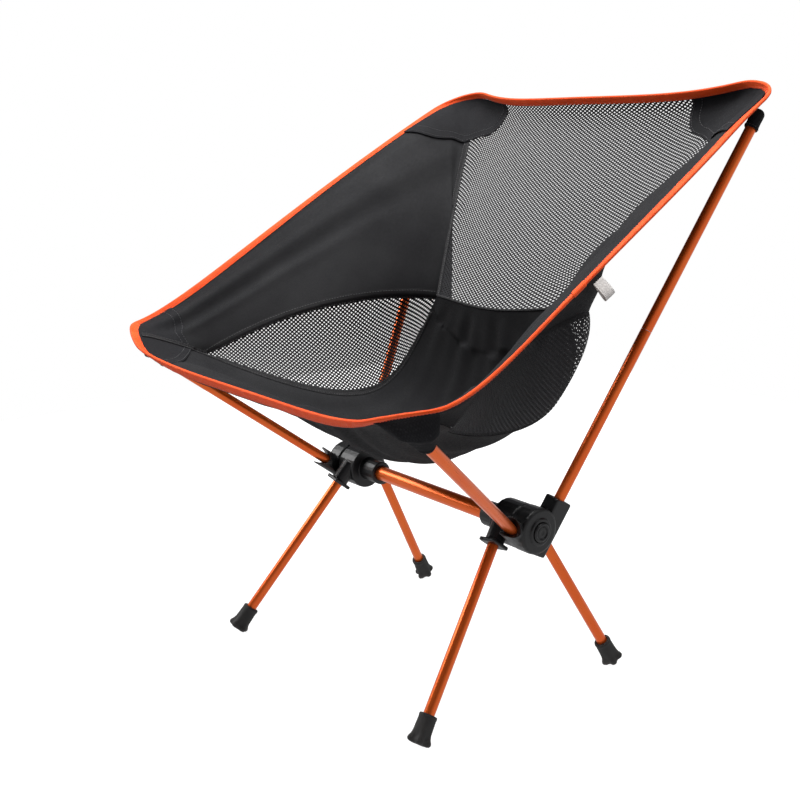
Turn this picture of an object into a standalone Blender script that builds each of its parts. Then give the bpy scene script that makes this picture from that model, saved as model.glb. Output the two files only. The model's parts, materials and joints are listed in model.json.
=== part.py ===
"""Ultralight backpacking chair.

Two moulded hub pairs on an aluminium crossbar carry four plug-in legs and
four plug-in arms.  A sewn sling seat hangs by corner pockets on the arm tips.
Metres, +Z up.  The chair faces -Y.  The pieces are laid out from the floor
under the crossbar, and the last step moves them all so that the origin lies
on the floor under the middle of the whole chair.
"""
import bpy
import bmesh
import math
from mathutils import Vector, Matrix
from mathutils.bvhtree import BVHTree

# ---------------------------------------------------------------- dimensions
POLE_R = 0.0059           # outer radius of legs and arms
BORE_R = 0.0050           # inner radius of legs and arms
BAR_R = 0.0086            # crossbar outer radius
BAR_BORE_R = 0.0075       # crossbar inner radius
BAR_HALF = 0.1160         # half length of the crossbar tube
HUB_Z = 0.1888            # height of the crossbar axis
MIDDLE_Y = 0.0072         # middle of the whole chair, behind the crossbar
SPLIT_X = 0.1545          # plane where the leg hub meets the arm hub
HUB_OUT_X = 0.1765        # outer face of the arm hub
COLLAR_X = 0.0965         # inner face of the crossbar collar
COLLAR_R = 0.0138
DISC_R = 0.0245
PIN_R = 0.0050
CAP_R = 0.0105            # round cap on the pivot pin
GAP = 0.0004              # assembly clearance
CORD_R = 0.0012

LEG_ROOT_X = 0.1400       # leg axis where it meets the hub
ARM_ROOT_X = 0.1640       # arm axis where it meets the hub
LEG_ROOT_Y = 0.0286
LEG_ROOT_Z = 0.1793
ARM_ROOT_Y = 0.0258
REAR_ROOT_Y = 0.0225       # the rear arm sits nearer the pivot than the front one
ARM_ROOT_Z = 0.1910
FRONT_FOOT = (0.1748, -0.1624, 0.0061)
REAR_FOOT = (0.1700, 0.1280, 0.0047)
FRONT_TIP = (0.2504, -0.2240, 0.3470)
REAR_TIP = (0.2455, 0.2410, 0.6158)

FRONT_LEG_IN = 0.016      # length of each tube inboard of its root point
REAR_LEG_IN = 0.008
FRONT_ARM_IN = 0.005
REAR_ARM_IN = 0.006
FRONT_LEG_MOUTH = 0.0085  # socket mouth, outboard of the root point
REAR_LEG_MOUTH = 0.0190
FRONT_ARM_MOUTH = 0.0215
REAR_ARM_MOUTH = 0.0280
SOCKET_R = 0.0102         # leg socket
BARREL_R = 0.0112         # front arm socket
STOP_R = 0.0205           # radius of the stop lug about the pivot
STOP_PIN_R = 0.0022
STOP_ANGLE = -40.0        # degrees, from +Y towards +Z
FOLD_ANGLE = 60.0         # travel of the arm hubs

FOOT_LEN = 0.0300
FOOT_LOBES = 5
FOOT_BORE_LEN = 0.0200

SPLICE = 0.47             # position of the joint in the rear arms
FERRULE_HALF = 0.030

CLOTH = 0.0008            # sling panel thickness
SEAM_GAP = 0.0006         # half of the gap between two panels at a seam
BIND_DEPTH = 0.0098       # reach of the edge tape over the cloth
BIND_OVER = 0.0012        # how far the tape stands out past the cloth edge
BIND_HALF = 0.0016        # half the opening of the folded tape
BIND_T = 0.0008
CUT_FRONT = (0.033, 0.0615)    # corner rounding along the side and front edges
CUT_REAR = (0.063, 0.051)      # corner rounding along the side and top edges
ROUND_FRONT = 0.30        # handle share of the front corner arcs
ROUND_REAR = 0.39
PATCH_LIFT = 0.0024       # corner patches lie this far above the panels
PATCH_FRONT = (0.074, 0.050)   # reach of a patch along the edges and along the seam
PATCH_REAR = (0.098, 0.064)

# sling outline and seams on the +X side: Bezier control points
CORNER_F = (0.2698, -0.2568, 0.3731)
CORNER_B = (0.2487, 0.2740, 0.6598)
SIDE_EDGE = [(0.3113, -0.1847, 0.3608), (0.2546, -0.1228, 0.4351), (0.3037, 0.0636, 0.5301)]
FRONT_EDGE = [(0.1436, -0.2451, 0.3180), (0.0, -0.2146, 0.3589)]
TOP_EDGE = [(0.1174, 0.2276, 0.6090), (0.0, 0.2125, 0.6618)]
BACK_SEAM = [(0.2350, 0.2661, 0.6048), (0.1766, 0.1900, 0.5505)]
BACK_LOW = (0.0938, 0.0843, 0.3979)
LOW_SEAM = [(0.0435, 0.0808, 0.3961), (0.0, 0.0747, 0.3867)]
LEAF_TIP = (0.2264, -0.1632, 0.3364)
LEAF_UPPER = [(0.0906, 0.1839, 0.3719), (0.1562, 0.0209, 0.4473)]
LEAF_LOWER = [(0.1988, 0.0896, 0.2388), (0.0370, -0.0507, 0.2769)]
BELLY_DROP = 0.040        # extra sag of the seat bottom
LEAF_BULGE = 0.012        # outward bulge of the side mesh
SIDE_TUCK = 0.019         # how far the side panel leans in behind its edge
SIDE_IN = (-0.80, -0.15, 0.58)
# where the arm tips press the cloth up: centre, direction, height, radius
PRESS = [((0.2450, -0.2150, 0.3520), (-0.20, 0.28, 0.94), 0.0025, 0.070),
         ((0.2396, 0.2342, 0.6130), (-0.875, -0.398, 0.275), 0.0150, 0.072)]

# ---------------------------------------------------------------- scene tools
for old in list(bpy.data.objects):
    bpy.data.objects.remove(old, do_unlink=True)

PARTS = bpy.data.collections.new("ultralight_backpacking_chair")
TOOLS = bpy.data.collections.new("cutters")
bpy.context.scene.collection.children.link(PARTS)
bpy.context.scene.collection.children.link(TOOLS)


def make_material(name, colour, roughness, metallic=0.0):
    mat = bpy.data.materials.new(name)
    mat.use_nodes = True
    shader = mat.node_tree.nodes["Principled BSDF"]
    shader.inputs["Base Color"].default_value = (*colour, 1.0)
    shader.inputs["Roughness"].default_value = roughness
    shader.inputs["Metallic"].default_value = metallic
    return mat


PALETTE = {
    "orange_anodised": ((0.78, 0.16, 0.03), 0.32, 0.85),
    "bare_aluminium": ((0.75, 0.75, 0.76), 0.30, 1.0),
    "steel": ((0.55, 0.55, 0.56), 0.30, 1.0),
    "hub_plastic": ((0.018, 0.018, 0.019), 0.42, 0.0),
    "foot_rubber": ((0.035, 0.034, 0.033), 0.75, 0.0),
    "elastic_cord": ((0.03, 0.03, 0.03), 0.8, 0.0),
    "oxford_cloth": ((0.022, 0.022, 0.024), 0.72, 0.0),
    "mesh_cloth": ((0.03, 0.03, 0.032), 0.78, 0.0),
    "orange_tape": ((0.82, 0.13, 0.035), 0.65, 0.0),
    "white_tag": ((0.80, 0.80, 0.78), 0.70, 0.0),
}


def own_material(node, kind):
    colour, rough, metal = PALETTE[kind]
    return make_material(node + "_" + kind, colour, rough, metal)


def add_object(name, mesh, kind=None):
    ob = bpy.data.objects.new(name, mesh)
    if kind is None:
        TOOLS.objects.link(ob)
        ob.hide_render = True
        ob.display_type = "WIRE"
    else:
        PARTS.objects.link(ob)
        mesh.materials.append(own_material(name, kind))
    return ob


def finish_mesh(name, bm, kind=None, smooth=30.0):
    bmesh.ops.recalc_face_normals(bm, faces=bm.faces)
    mesh = bpy.data.meshes.new(name)
    bm.to_mesh(mesh)
    bm.free()
    mesh.shade_smooth()
    mesh.set_sharp_from_angle(angle=math.radians(smooth))
    return add_object(name, mesh, kind)


def axis_frame(origin, direction, x_hint=(1.0, 0.0, 0.0)):
    """Local Z along direction, local X as close to the hint as it can be."""
    z = Vector(direction).normalized()
    x = Vector(x_hint)
    if abs(z.dot(x)) > 0.95:
        x = Vector((0.0, 0.0, 1.0))
    x = (x - z * x.dot(z)).normalized()
    y = z.cross(x)
    rot = Matrix((x, y, z)).transposed().to_4x4()
    return Matrix.Translation(Vector(origin)) @ rot


def rod(name, start, end, radius, kind=None, sides=24):
    """Solid round bar between two points."""
    a = Vector(start)
    b = Vector(end)
    bm = bmesh.new()
    bmesh.ops.create_cone(bm, cap_ends=True, segments=sides, radius1=radius,
                          radius2=radius, depth=(b - a).length)
    bmesh.ops.transform(bm, matrix=axis_frame((a + b) / 2, b - a), verts=bm.verts)
    return finish_mesh(name, bm, kind)


def block(name, frame, size, kind=None, bevel=0.0):
    bm = bmesh.new()
    bmesh.ops.create_cube(bm, size=1.0)
    bmesh.ops.scale(bm, vec=Vector(size), verts=bm.verts)
    if bevel > 0.0:
        bmesh.ops.bevel(bm, geom=bm.edges[:], offset=bevel, segments=2, profile=0.5,
                        affect="EDGES")
    bmesh.ops.transform(bm, matrix=frame, verts=bm.verts)
    return finish_mesh(name, bm, kind)


def turned(name, profile, frame, kind=None, steps=24, closed=False, smooth=30.0):
    """Screw modifier on a profile of (radius, height) that runs from top to bottom."""
    mesh = bpy.data.meshes.new(name)
    points = [(r, 0.0, z) for r, z in profile]
    edges = [(i, i + 1) for i in range(len(points) - 1)]
    if closed:
        edges.append((len(points) - 1, 0))
    mesh.from_pydata(points, edges, [])
    ob = add_object(name, mesh, kind)
    ob.matrix_world = frame
    screw = ob.modifiers.new("turn", "SCREW")
    screw.axis = "Z"
    screw.steps = steps
    screw.render_steps = steps
    screw.use_merge_vertices = True
    screw.merge_threshold = 0.00005
    screw.use_smooth_shade = True
    return ob


def pipe(name, start, end, outer, inner, kind, sides=18):
    """Hollow round tube between two points."""
    a = Vector(start)
    b = Vector(end)
    length = (b - a).length
    profile = [(outer, length), (outer, 0.0), (inner, 0.0), (inner, length)]
    return turned(name, profile, axis_frame(a, b - a), kind, steps=sides, closed=True)


def cord(name, start, end, radius, kind):
    """Straight elastic cord as a bevelled curve with filled caps."""
    curve = bpy.data.curves.new(name, "CURVE")
    curve.dimensions = "3D"
    curve.bevel_depth = radius
    curve.bevel_resolution = 2
    curve.use_fill_caps = True
    spline = curve.splines.new("POLY")
    spline.points.add(1)
    spline.points[0].co = (*start, 1.0)
    spline.points[1].co = (*end, 1.0)
    ob = bpy.data.objects.new(name, curve)
    PARTS.objects.link(ob)
    curve.materials.append(own_material(name, kind))
    return ob


def combine(ob, other, operation):
    mod = ob.modifiers.new(operation.lower(), "BOOLEAN")
    mod.operation = operation
    mod.object = other
    mod.solver = "EXACT"


def side_point(point, side):
    return Vector((point[0] * side, point[1], point[2]))


def along(root, tip, distance):
    return root + (tip - root).normalized() * distance


def hang_on(ob, empty):
    """Parent to an empty that marks the joint, without moving the piece."""
    world = ob.matrix_world.copy()
    ob.parent = empty
    ob.matrix_parent_inverse = Matrix.Identity(4)
    ob.matrix_basis = Matrix.Translation(-empty.location) @ world


def joint_empty(name, place):
    empty = bpy.data.objects.new(name, None)
    empty.empty_display_size = 0.03
    empty.location = place
    PARTS.objects.link(empty)
    return empty


# ---------------------------------------------------------------- axes
def leg_axis(side, front):
    y = -LEG_ROOT_Y if front else LEG_ROOT_Y
    root = side_point((LEG_ROOT_X, y, LEG_ROOT_Z), side)
    foot = side_point(FRONT_FOOT if front else REAR_FOOT, side)
    return root, foot


def arm_axis(side, front):
    y = -ARM_ROOT_Y if front else REAR_ROOT_Y
    root = side_point((ARM_ROOT_X, y, ARM_ROOT_Z), side)
    tip = side_point(FRONT_TIP if front else REAR_TIP, side)
    return root, tip


SIDES = (("right", 1.0), ("left", -1.0))
X_AXIS = Vector((1.0, 0.0, 0.0))

# ---------------------------------------------------------------- crossbar
bar_start = Vector((-BAR_HALF, 0.0, HUB_Z))
bar_end = Vector((BAR_HALF, 0.0, HUB_Z))
pipe("crossbar", bar_start, bar_end, BAR_R, BAR_BORE_R, "orange_anodised", sides=20)
cord("crossbar_cord", bar_start + X_AXIS * GAP, bar_end - X_AXIS * GAP, CORD_R, "elastic_cord")


def bevelled_disc(name, x_low, x_high, radius, chamfer, side, kind=None, steps=32):
    """Disc about the crossbar axis, from x_low to x_high, with a soft outer rim."""
    height = x_high - x_low
    c = chamfer
    profile = [(0.0, height), (radius - c, height), (radius - 0.3 * c, height - 0.3 * c),
               (radius, height - c), (radius, 0.4 * c), (radius - 0.4 * c, 0.0), (0.0, 0.0)]
    frame = axis_frame((x_low * side, 0.0, HUB_Z), (side, 0.0, 0.0))
    return turned(name, profile, frame, kind, steps=steps)


def leg_hub(label, side):
    name = "leg_hub_" + label
    inner_face = SPLIT_X - 0.0003
    hub = bevelled_disc(name, 0.1240, inner_face, DISC_R, 0.0020, side, "hub_plastic", 24)
    centre = Vector((0.0, 0.0, HUB_Z))
    collar_c = 0.0010
    collar = turned("tool_collar_" + label,
                    [(0.0, 0.0300), (COLLAR_R, 0.0300), (COLLAR_R, collar_c),
                     (COLLAR_R - collar_c, 0.0), (0.0, 0.0)],
                    axis_frame((COLLAR_X * side, 0.0, HUB_Z), (side, 0.0, 0.0)), steps=20)
    combine(hub, collar, "UNION")
    for front, inboard, mouth in ((True, 0.020, FRONT_LEG_MOUTH), (False, 0.012, REAR_LEG_MOUTH)):
        root, foot = leg_axis(side, front)
        tag = label + ("_front" if front else "_rear")
        socket = rod("tool_leg_socket_" + tag, along(root, foot, -inboard),
                     along(root, foot, mouth), SOCKET_R, sides=16)
        combine(hub, socket, "UNION")
        if front:
            lip = axis_frame(along(root, foot, mouth - 0.0018), foot - root)
            flange = block("tool_flange_" + tag, lip, (0.0215, 0.0250, 0.0042), bevel=0.0010)
            combine(hub, flange, "UNION")
    lug_angle = math.radians(STOP_ANGLE)
    lug_y = STOP_R * math.cos(lug_angle)
    lug_z = HUB_Z + STOP_R * math.sin(lug_angle)
    trim = block("tool_leg_trim_" + label,
                 Matrix.Translation(((inner_face + 0.05) * side, 0.0, HUB_Z)), (0.1, 0.3, 0.3))
    combine(hub, trim, "DIFFERENCE")
    lug = rod("tool_lug_" + label, (0.150 * side, lug_y, lug_z),
              ((SPLIT_X + 0.0027) * side, lug_y, lug_z), STOP_PIN_R, sides=12)
    combine(hub, lug, "UNION")
    bar_bore = rod("tool_bar_bore_" + label, centre + X_AXIS * (side * (COLLAR_X - 0.002)),
                   centre + X_AXIS * (side * (BAR_HALF + GAP)), BAR_R + 0.0003, sides=20)
    combine(hub, bar_bore, "DIFFERENCE")
    pin_bore = rod("tool_pin_bore_" + label, centre + X_AXIS * (side * 0.1316),
                   centre + X_AXIS * (side * (SPLIT_X + 0.002)), PIN_R + 0.0003, sides=16)
    combine(hub, pin_bore, "DIFFERENCE")
    for front, inboard, mouth in ((True, FRONT_LEG_IN, FRONT_LEG_MOUTH),
                                  (False, REAR_LEG_IN, REAR_LEG_MOUTH)):
        root, foot = leg_axis(side, front)
        tag = label + ("_front" if front else "_rear")
        bore = rod("tool_leg_bore_" + tag, along(root, foot, -inboard - GAP),
                   along(root, foot, mouth + 0.006), POLE_R + 0.0003, sides=16)
        combine(hub, bore, "DIFFERENCE")
    return hub


def arc_slot(name, side, x_low, x_high, r_low, r_high, start, end):
    """Curved slot cutter about the crossbar axis."""
    bm = bmesh.new()
    steps = 8
    ring = []
    for radius, order in ((r_low, range(steps + 1)), (r_high, range(steps, -1, -1))):
        for i in order:
            angle = math.radians(start + (end - start) * i / steps)
            ring.append(bm.verts.new((x_low * side, radius * math.cos(angle),
                                      HUB_Z + radius * math.sin(angle))))
    face = bm.faces.new(ring)
    grown = bmesh.ops.extrude_face_region(bm, geom=[face])
    moved = [v for v in grown["geom"] if isinstance(v, bmesh.types.BMVert)]
    bmesh.ops.translate(bm, vec=((x_high - x_low) * side, 0.0, 0.0), verts=moved)
    return finish_mesh(name, bm)


def arm_hub(label, side):
    name = "arm_hub_" + label
    inner_face = SPLIT_X + 0.0003
    centre = Vector((0.0, 0.0, HUB_Z))
    hub = bevelled_disc(name, inner_face, HUB_OUT_X, DISC_R + 0.0005, 0.0030, side,
                        "hub_plastic", 24)
    root, tip = arm_axis(side, True)
    barrel_frame = axis_frame(along(root, tip, -0.016), tip - root)
    top = 0.016 + FRONT_ARM_MOUTH
    barrel = turned("tool_barrel_" + label,
                    [(0.0, top), (BARREL_R - 0.0008, top), (BARREL_R, top - 0.0008),
                     (BARREL_R, 0.0020), (BARREL_R - 0.0020, 0.0), (0.0, 0.0)],
                    barrel_frame, steps=20)
    combine(hub, barrel, "UNION")
    mouth_frame = axis_frame(along(root, tip, 0.0250), tip - root)
    notch = bmesh.new()
    bmesh.ops.create_cone(notch, cap_ends=True, segments=20, radius1=0.0120, radius2=0.0120,
                          depth=0.05)
    bmesh.ops.rotate(notch, cent=(0, 0, 0), matrix=Matrix.Rotation(math.pi / 2, 3, "Y"),
                     verts=notch.verts)
    bmesh.ops.scale(notch, vec=(1.0, 0.82, 1.45), verts=notch.verts)
    bmesh.ops.transform(notch, matrix=mouth_frame, verts=notch.verts)
    fish_mouth = finish_mesh("tool_fish_mouth_" + label, notch)
    combine(hub, fish_mouth, "DIFFERENCE")
    root, tip = arm_axis(side, False)
    length = 0.0360 + REAR_ARM_MOUTH
    frame = axis_frame(along(root, tip, REAR_ARM_MOUTH - length / 2), tip - root)
    spine = block("tool_rear_socket_" + label, frame, (0.0195, 0.0235, length), bevel=0.0020)
    combine(hub, spine, "UNION")
    trim = block("tool_arm_trim_" + label,
                 Matrix.Translation(((inner_face - 0.05) * side, 0.0, HUB_Z)), (0.1, 0.3, 0.3))
    combine(hub, trim, "DIFFERENCE")
    boss = turned("tool_boss_" + label,
                  [(0.0, 0.0060), (0.0140, 0.0060), (0.0150, 0.0050), (0.0150, 0.0), (0.0, 0.0)],
                  axis_frame(((HUB_OUT_X - 0.004) * side, 0.0, HUB_Z), (side, 0.0, 0.0)), steps=20)
    combine(hub, boss, "UNION")
    pin_bore = rod("tool_turn_bore_" + label, centre + X_AXIS * (side * (SPLIT_X - 0.004)),
                   centre + X_AXIS * (side * (HUB_OUT_X + 0.006)), PIN_R + GAP, sides=18)
    combine(hub, pin_bore, "DIFFERENCE")
    seat = rod("tool_cap_seat_" + label, centre + X_AXIS * (side * (HUB_OUT_X - 0.0010)),
               centre + X_AXIS * (side * (HUB_OUT_X + 0.006)), CAP_R + 0.0006, sides=20)
    combine(hub, seat, "DIFFERENCE")
    lug_half = math.degrees(STOP_PIN_R / STOP_R)
    slack = math.degrees(0.0004 / STOP_R)
    slot = arc_slot("tool_slot_" + label, side, SPLIT_X - 0.002, SPLIT_X + 0.0033,
                    STOP_R - STOP_PIN_R - 0.0004, STOP_R + STOP_PIN_R + 0.0004,
                    STOP_ANGLE - FOLD_ANGLE - lug_half - slack, STOP_ANGLE + lug_half + slack)
    combine(hub, slot, "DIFFERENCE")
    for front, inboard, mouth in ((True, FRONT_ARM_IN, FRONT_ARM_MOUTH),
                                  (False, REAR_ARM_IN, REAR_ARM_MOUTH)):
        root, tip = arm_axis(side, front)
        tag = label + ("_front" if front else "_rear")
        bore = rod("tool_arm_bore_" + tag, along(root, tip, -inboard - GAP),
                   along(root, tip, mouth + 0.006), POLE_R + 0.0003, sides=16)
        combine(hub, bore, "DIFFERENCE")
    return hub


def pivot_pin(label, side):
    length = HUB_OUT_X - 0.0004 - 0.1320
    profile = [(0.0, length), (PIN_R, length), (PIN_R, 0.0), (0.0, 0.0)]
    frame = axis_frame((0.1320 * side, 0.0, HUB_Z), (side, 0.0, 0.0))
    return turned("pivot_pin_" + label, profile, frame, "steel", steps=18)


def pivot_cap(label, side):
    """Pressed on the pin: a button with a dished face, in the arm hub's round seat."""
    base = HUB_OUT_X - 0.0010 + 0.0004
    grip = CAP_R
    profile = [(0.0, 0.0034), (0.0060, 0.0036), (0.0078, 0.0044), (grip, 0.0036), (grip, 0.0),
               (0.0, 0.0)]
    frame = axis_frame(((base + 0.0003) * side, 0.0, HUB_Z), (side, 0.0, 0.0))
    return turned("pivot_cap_" + label, profile, frame, "hub_plastic", steps=20)


def foot(label, side, front, empty):
    """Rubber foot: fluted sleeve that ends in a ring of round lobes."""
    root, low = leg_axis(side, front)
    place = "front" if front else "rear"
    frame = axis_frame(low, root - low, (0.0, 0.0, -1.0))
    count = FOOT_LOBES * 4
    outer = [(0.0000, 0.0078, 0.00), (0.0004, 0.0102, 0.14), (0.0030, 0.0112, 0.17),
             (0.0058, 0.0104, 0.14), (0.0078, 0.0097, 0.04), (FOOT_LEN - 0.0010, 0.0091, 0.02),
             (FOOT_LEN, 0.0084, 0.0)]
    inner = [(FOOT_LEN, POLE_R + 0.0003, 0.0), (FOOT_LEN - FOOT_BORE_LEN, POLE_R + 0.0003, 0.0)]
    bm = bmesh.new()
    rings = []
    for height, radius, wave in outer + inner:
        ring = []
        for i in range(count):
            angle = 2.0 * math.pi * i / count
            r = radius * (1.0 + wave * math.cos(FOOT_LOBES * angle))
            ring.append(bm.verts.new((r * math.cos(angle), r * math.sin(angle), height)))
        rings.append(ring)
    for low_ring, high_ring in zip(rings, rings[1:]):
        for i in range(count):
            j = (i + 1) % count
            bm.faces.new((low_ring[i], low_ring[j], high_ring[j], high_ring[i]))
    bm.faces.new(rings[0])
    bm.faces.new(rings[-1])
    bmesh.ops.transform(bm, matrix=frame, verts=bm.verts)
    name = "foot_" + place + "_" + label
    ob = finish_mesh(name, bm, "foot_rubber", smooth=40.0)
    floor = block("tool_floor_" + name, Matrix.Translation((0.17 * side, 0.0, -0.05)),
                  (0.2, 0.6, 0.1))
    combine(ob, floor, "DIFFERENCE")
    hang_on(ob, empty)
    return ob


def leg(label, side, front, inboard):
    place = "front" if front else "rear"
    root, low = leg_axis(side, front)
    reach = (low - root).length
    empty = joint_empty("joint_leg_" + place + "_" + label, root)
    tube = pipe("leg_" + place + "_" + label, along(root, low, -inboard),
                along(root, low, reach - (FOOT_LEN - FOOT_BORE_LEN) - GAP), POLE_R, BORE_R,
                "orange_anodised")
    hang_on(tube, empty)
    foot(label, side, front, empty)
    cord("cord_leg_" + place + "_" + label, along(root, low, -inboard),
         along(root, low, reach - (FOOT_LEN - FOOT_BORE_LEN) - GAP), CORD_R, "elastic_cord")


def tip_cap(name, root, tip, empty):
    """Plug in the open end of an arm with a rounded head."""
    frame = axis_frame(along(root, tip, (tip - root).length - 0.0150), tip - root)
    profile = [(0.0, 0.0150), (0.0030, 0.0146), (0.0052, 0.0130), (0.0062, 0.0105),
               (0.0062, 0.0084), (BORE_R - 0.0003, 0.0084), (BORE_R - 0.0003, 0.0), (0.0, 0.0)]
    ob = turned(name, profile, frame, "hub_plastic", steps=12)
    hang_on(ob, empty)


def arms(label, side, empty):
    root, tip = arm_axis(side, True)
    reach = (tip - root).length
    tube = pipe("arm_front_" + label, along(root, tip, -FRONT_ARM_IN),
                along(root, tip, reach - 0.0070), POLE_R, BORE_R, "orange_anodised")
    hang_on(tube, empty)
    tip_cap("arm_tip_front_" + label, root, tip, empty)
    line = cord("cord_arm_front_" + label, along(root, tip, -FRONT_ARM_IN),
                along(root, tip, reach - 0.0154), CORD_R, "elastic_cord")
    hang_on(line, empty)
    root, tip = arm_axis(side, False)
    reach = (tip - root).length
    splice = reach * SPLICE
    lower = pipe("arm_rear_lower_" + label, along(root, tip, -REAR_ARM_IN),
                 along(root, tip, splice - 0.0002), POLE_R, BORE_R, "orange_anodised")
    hang_on(lower, empty)
    upper = pipe("arm_rear_upper_" + label, along(root, tip, splice + 0.0002),
                 along(root, tip, reach - 0.0070), POLE_R, BORE_R, "orange_anodised")
    hang_on(upper, empty)
    sleeve = pipe("ferrule_" + label, along(root, tip, splice - FERRULE_HALF),
                  along(root, tip, splice + FERRULE_HALF), BORE_R - 0.0003, 0.0034,
                  "bare_aluminium", sides=12)
    hang_on(sleeve, empty)
    tip_cap("arm_tip_rear_" + label, root, tip, empty)
    line = cord("cord_arm_rear_" + label, along(root, tip, -REAR_ARM_IN),
                along(root, tip, reach - 0.0154), CORD_R, "elastic_cord")
    hang_on(line, empty)


frame_empty = joint_empty("joint_seat_frame", Vector((0.0, 0.0, HUB_Z)))
for label, side in SIDES:
    leg_hub(label, side)
    pivot_pin(label, side)
    pivot_cap(label, side)
    hang_on(arm_hub(label, side), frame_empty)
    leg(label, side, True, FRONT_LEG_IN)
    leg(label, side, False, REAR_LEG_IN)
    arms(label, side, frame_empty)


# ---------------------------------------------------------------- sling curves
def bezier(control, count=48):
    points = []
    for k in range(count + 1):
        t = k / count
        level = [Vector(c) for c in control]
        while len(level) > 1:
            level = [a.lerp(b, t) for a, b in zip(level, level[1:])]
        points.append(level[0])
    return points


class Line:
    """Polyline read by its share of the arc length."""

    def __init__(self, points):
        self.points = [Vector(p) for p in points]
        self.reach = [0.0]
        for a, b in zip(self.points, self.points[1:]):
            self.reach.append(self.reach[-1] + (b - a).length)
        self.length = self.reach[-1]

    def at(self, share):
        want = min(max(share, 0.0), 1.0) * self.length
        for k in range(1, len(self.points)):
            if self.reach[k] >= want or k == len(self.points) - 1:
                span = self.reach[k] - self.reach[k - 1]
                t = (want - self.reach[k - 1]) / span if span > 0.0 else 0.0
                return self.points[k - 1].lerp(self.points[k], t)

    def back(self):
        return Line(self.points[::-1])

    def flip(self):
        return Line([Vector((-p.x, p.y, p.z)) for p in self.points])


def mirrored(points):
    return [(-p[0], p[1], p[2]) for p in points]


def trim_ends(points, start_cut, end_cut):
    line = Line(points)
    low = start_cut / line.length
    high = 1.0 - end_cut / line.length
    return [line.at(low + (high - low) * k / 60) for k in range(61)]


def corner_arc(start, corner, end, handle):
    corner = Vector(corner)
    return bezier([start, start.lerp(corner, handle), end.lerp(corner, handle), end], 12)


side_raw = trim_ends(bezier([CORNER_F] + SIDE_EDGE + [CORNER_B]), CUT_FRONT[0], CUT_REAR[0])
front_raw = trim_ends(bezier([CORNER_F] + FRONT_EDGE + [mirrored(FRONT_EDGE)[0]]
                             + mirrored([CORNER_F])), CUT_FRONT[1], CUT_FRONT[1])
top_raw = trim_ends(bezier([CORNER_B] + TOP_EDGE + [mirrored(TOP_EDGE)[0]]
                           + mirrored([CORNER_B])), CUT_REAR[1], CUT_REAR[1])
arc_f = corner_arc(front_raw[0], CORNER_F, side_raw[0], ROUND_FRONT)
arc_b = corner_arc(side_raw[-1], CORNER_B, top_raw[0], ROUND_REAR)
half_f = len(arc_f) // 2
half_b = len(arc_b) // 2

side_edge = Line(arc_f[half_f:] + side_raw[1:-1] + arc_b[:half_b + 1])
front_half = arc_f[:half_f + 1][::-1] + front_raw[1:31]
top_half = arc_b[half_b:] + top_raw[1:31]
front_edge = Line(front_half + [Vector((-p.x, p.y, p.z)) for p in front_half[-2::-1]])
top_edge = Line(top_half + [Vector((-p.x, p.y, p.z)) for p in top_half[-2::-1]])
back_seam = Line([arc_b[half_b]] + bezier([CORNER_B] + BACK_SEAM + [BACK_LOW])[9:])
low_seam = Line(bezier([BACK_LOW] + LOW_SEAM + mirrored([LOW_SEAM[0], BACK_LOW])))
leaf_upper = Line(bezier([BACK_LOW] + LEAF_UPPER + [LEAF_TIP]))
leaf_lower = Line(bezier([BACK_LOW] + LEAF_LOWER + [LEAF_TIP]))
tip_seam = Line([LEAF_TIP, arc_f[half_f]])
bottom_side = Line(leaf_lower.points + [arc_f[half_f]])


# ---------------------------------------------------------------- sling surfaces
def coons(low, high, left, right):
    """Surface over (u, v) in the unit square that meets its four border lines."""
    p00, p10 = low.at(0.0), low.at(1.0)
    p01, p11 = high.at(0.0), high.at(1.0)

    def point(u, v):
        ruled_v = low.at(u) * (1 - v) + high.at(u) * v
        ruled_u = left.at(v) * (1 - u) + right.at(v) * u
        corner = (p00 * (1 - u) + p10 * u) * (1 - v) + (p01 * (1 - u) + p11 * u) * v
        return ruled_v + ruled_u - corner
    return point


side_frame = coons(side_edge, leaf_upper.back(), tip_seam.back(), back_seam)
back_frame = coons(top_edge, low_seam, back_seam, back_seam.flip())
bottom_frame = coons(low_seam, front_edge, bottom_side, bottom_side.flip())


def ease(t):
    t = min(max(t, 0.0), 1.0)
    return t * t * (3.0 - 2.0 * t)


def pressed(point, edge_distance):
    """Lift the cloth over the arm tips, leaving the outer edge where it is."""
    side = -1.0 if point.x < 0.0 else 1.0
    out = point.copy()
    for centre, direction, height, radius in PRESS:
        c = Vector((centre[0] * side, centre[1], centre[2]))
        d = Vector((direction[0] * side, direction[1], direction[2])).normalized()
        far = (point - c).length / radius
        out += d * (height * math.exp(-far * far) * ease(edge_distance / 0.022))
    return out


def side_surface(u, v):
    depth = v * (tip_seam.length * (1.0 - u) + back_seam.length * u)
    lean = SIDE_TUCK * ease(u / 0.55) * ease((1.0 - u) / 0.22)
    lean *= (1.0 - math.exp(-max(0.0, depth - 0.007) / 0.011)) * max(0.0, 1.0 - v) ** 0.8
    return pressed(side_frame(u, v) + Vector(SIDE_IN) * lean, depth)


def back_surface(u, v):
    return pressed(back_frame(u, v), v * back_seam.length)


def bottom_surface(u, v):
    point = bottom_frame(u, v)
    across = math.sin(math.pi * u) ** 1.2
    lengthwise = math.sin(math.pi * min(1.0, v * 1.12)) ** 1.3
    depth = (1.0 - v) * bottom_side.length
    drop = BELLY_DROP * across * lengthwise
    return pressed(point - Vector((0.0, 0.0, drop)), depth)


def bottom_from_front(u, v):
    return bottom_surface(u, 1.0 - v)


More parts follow.
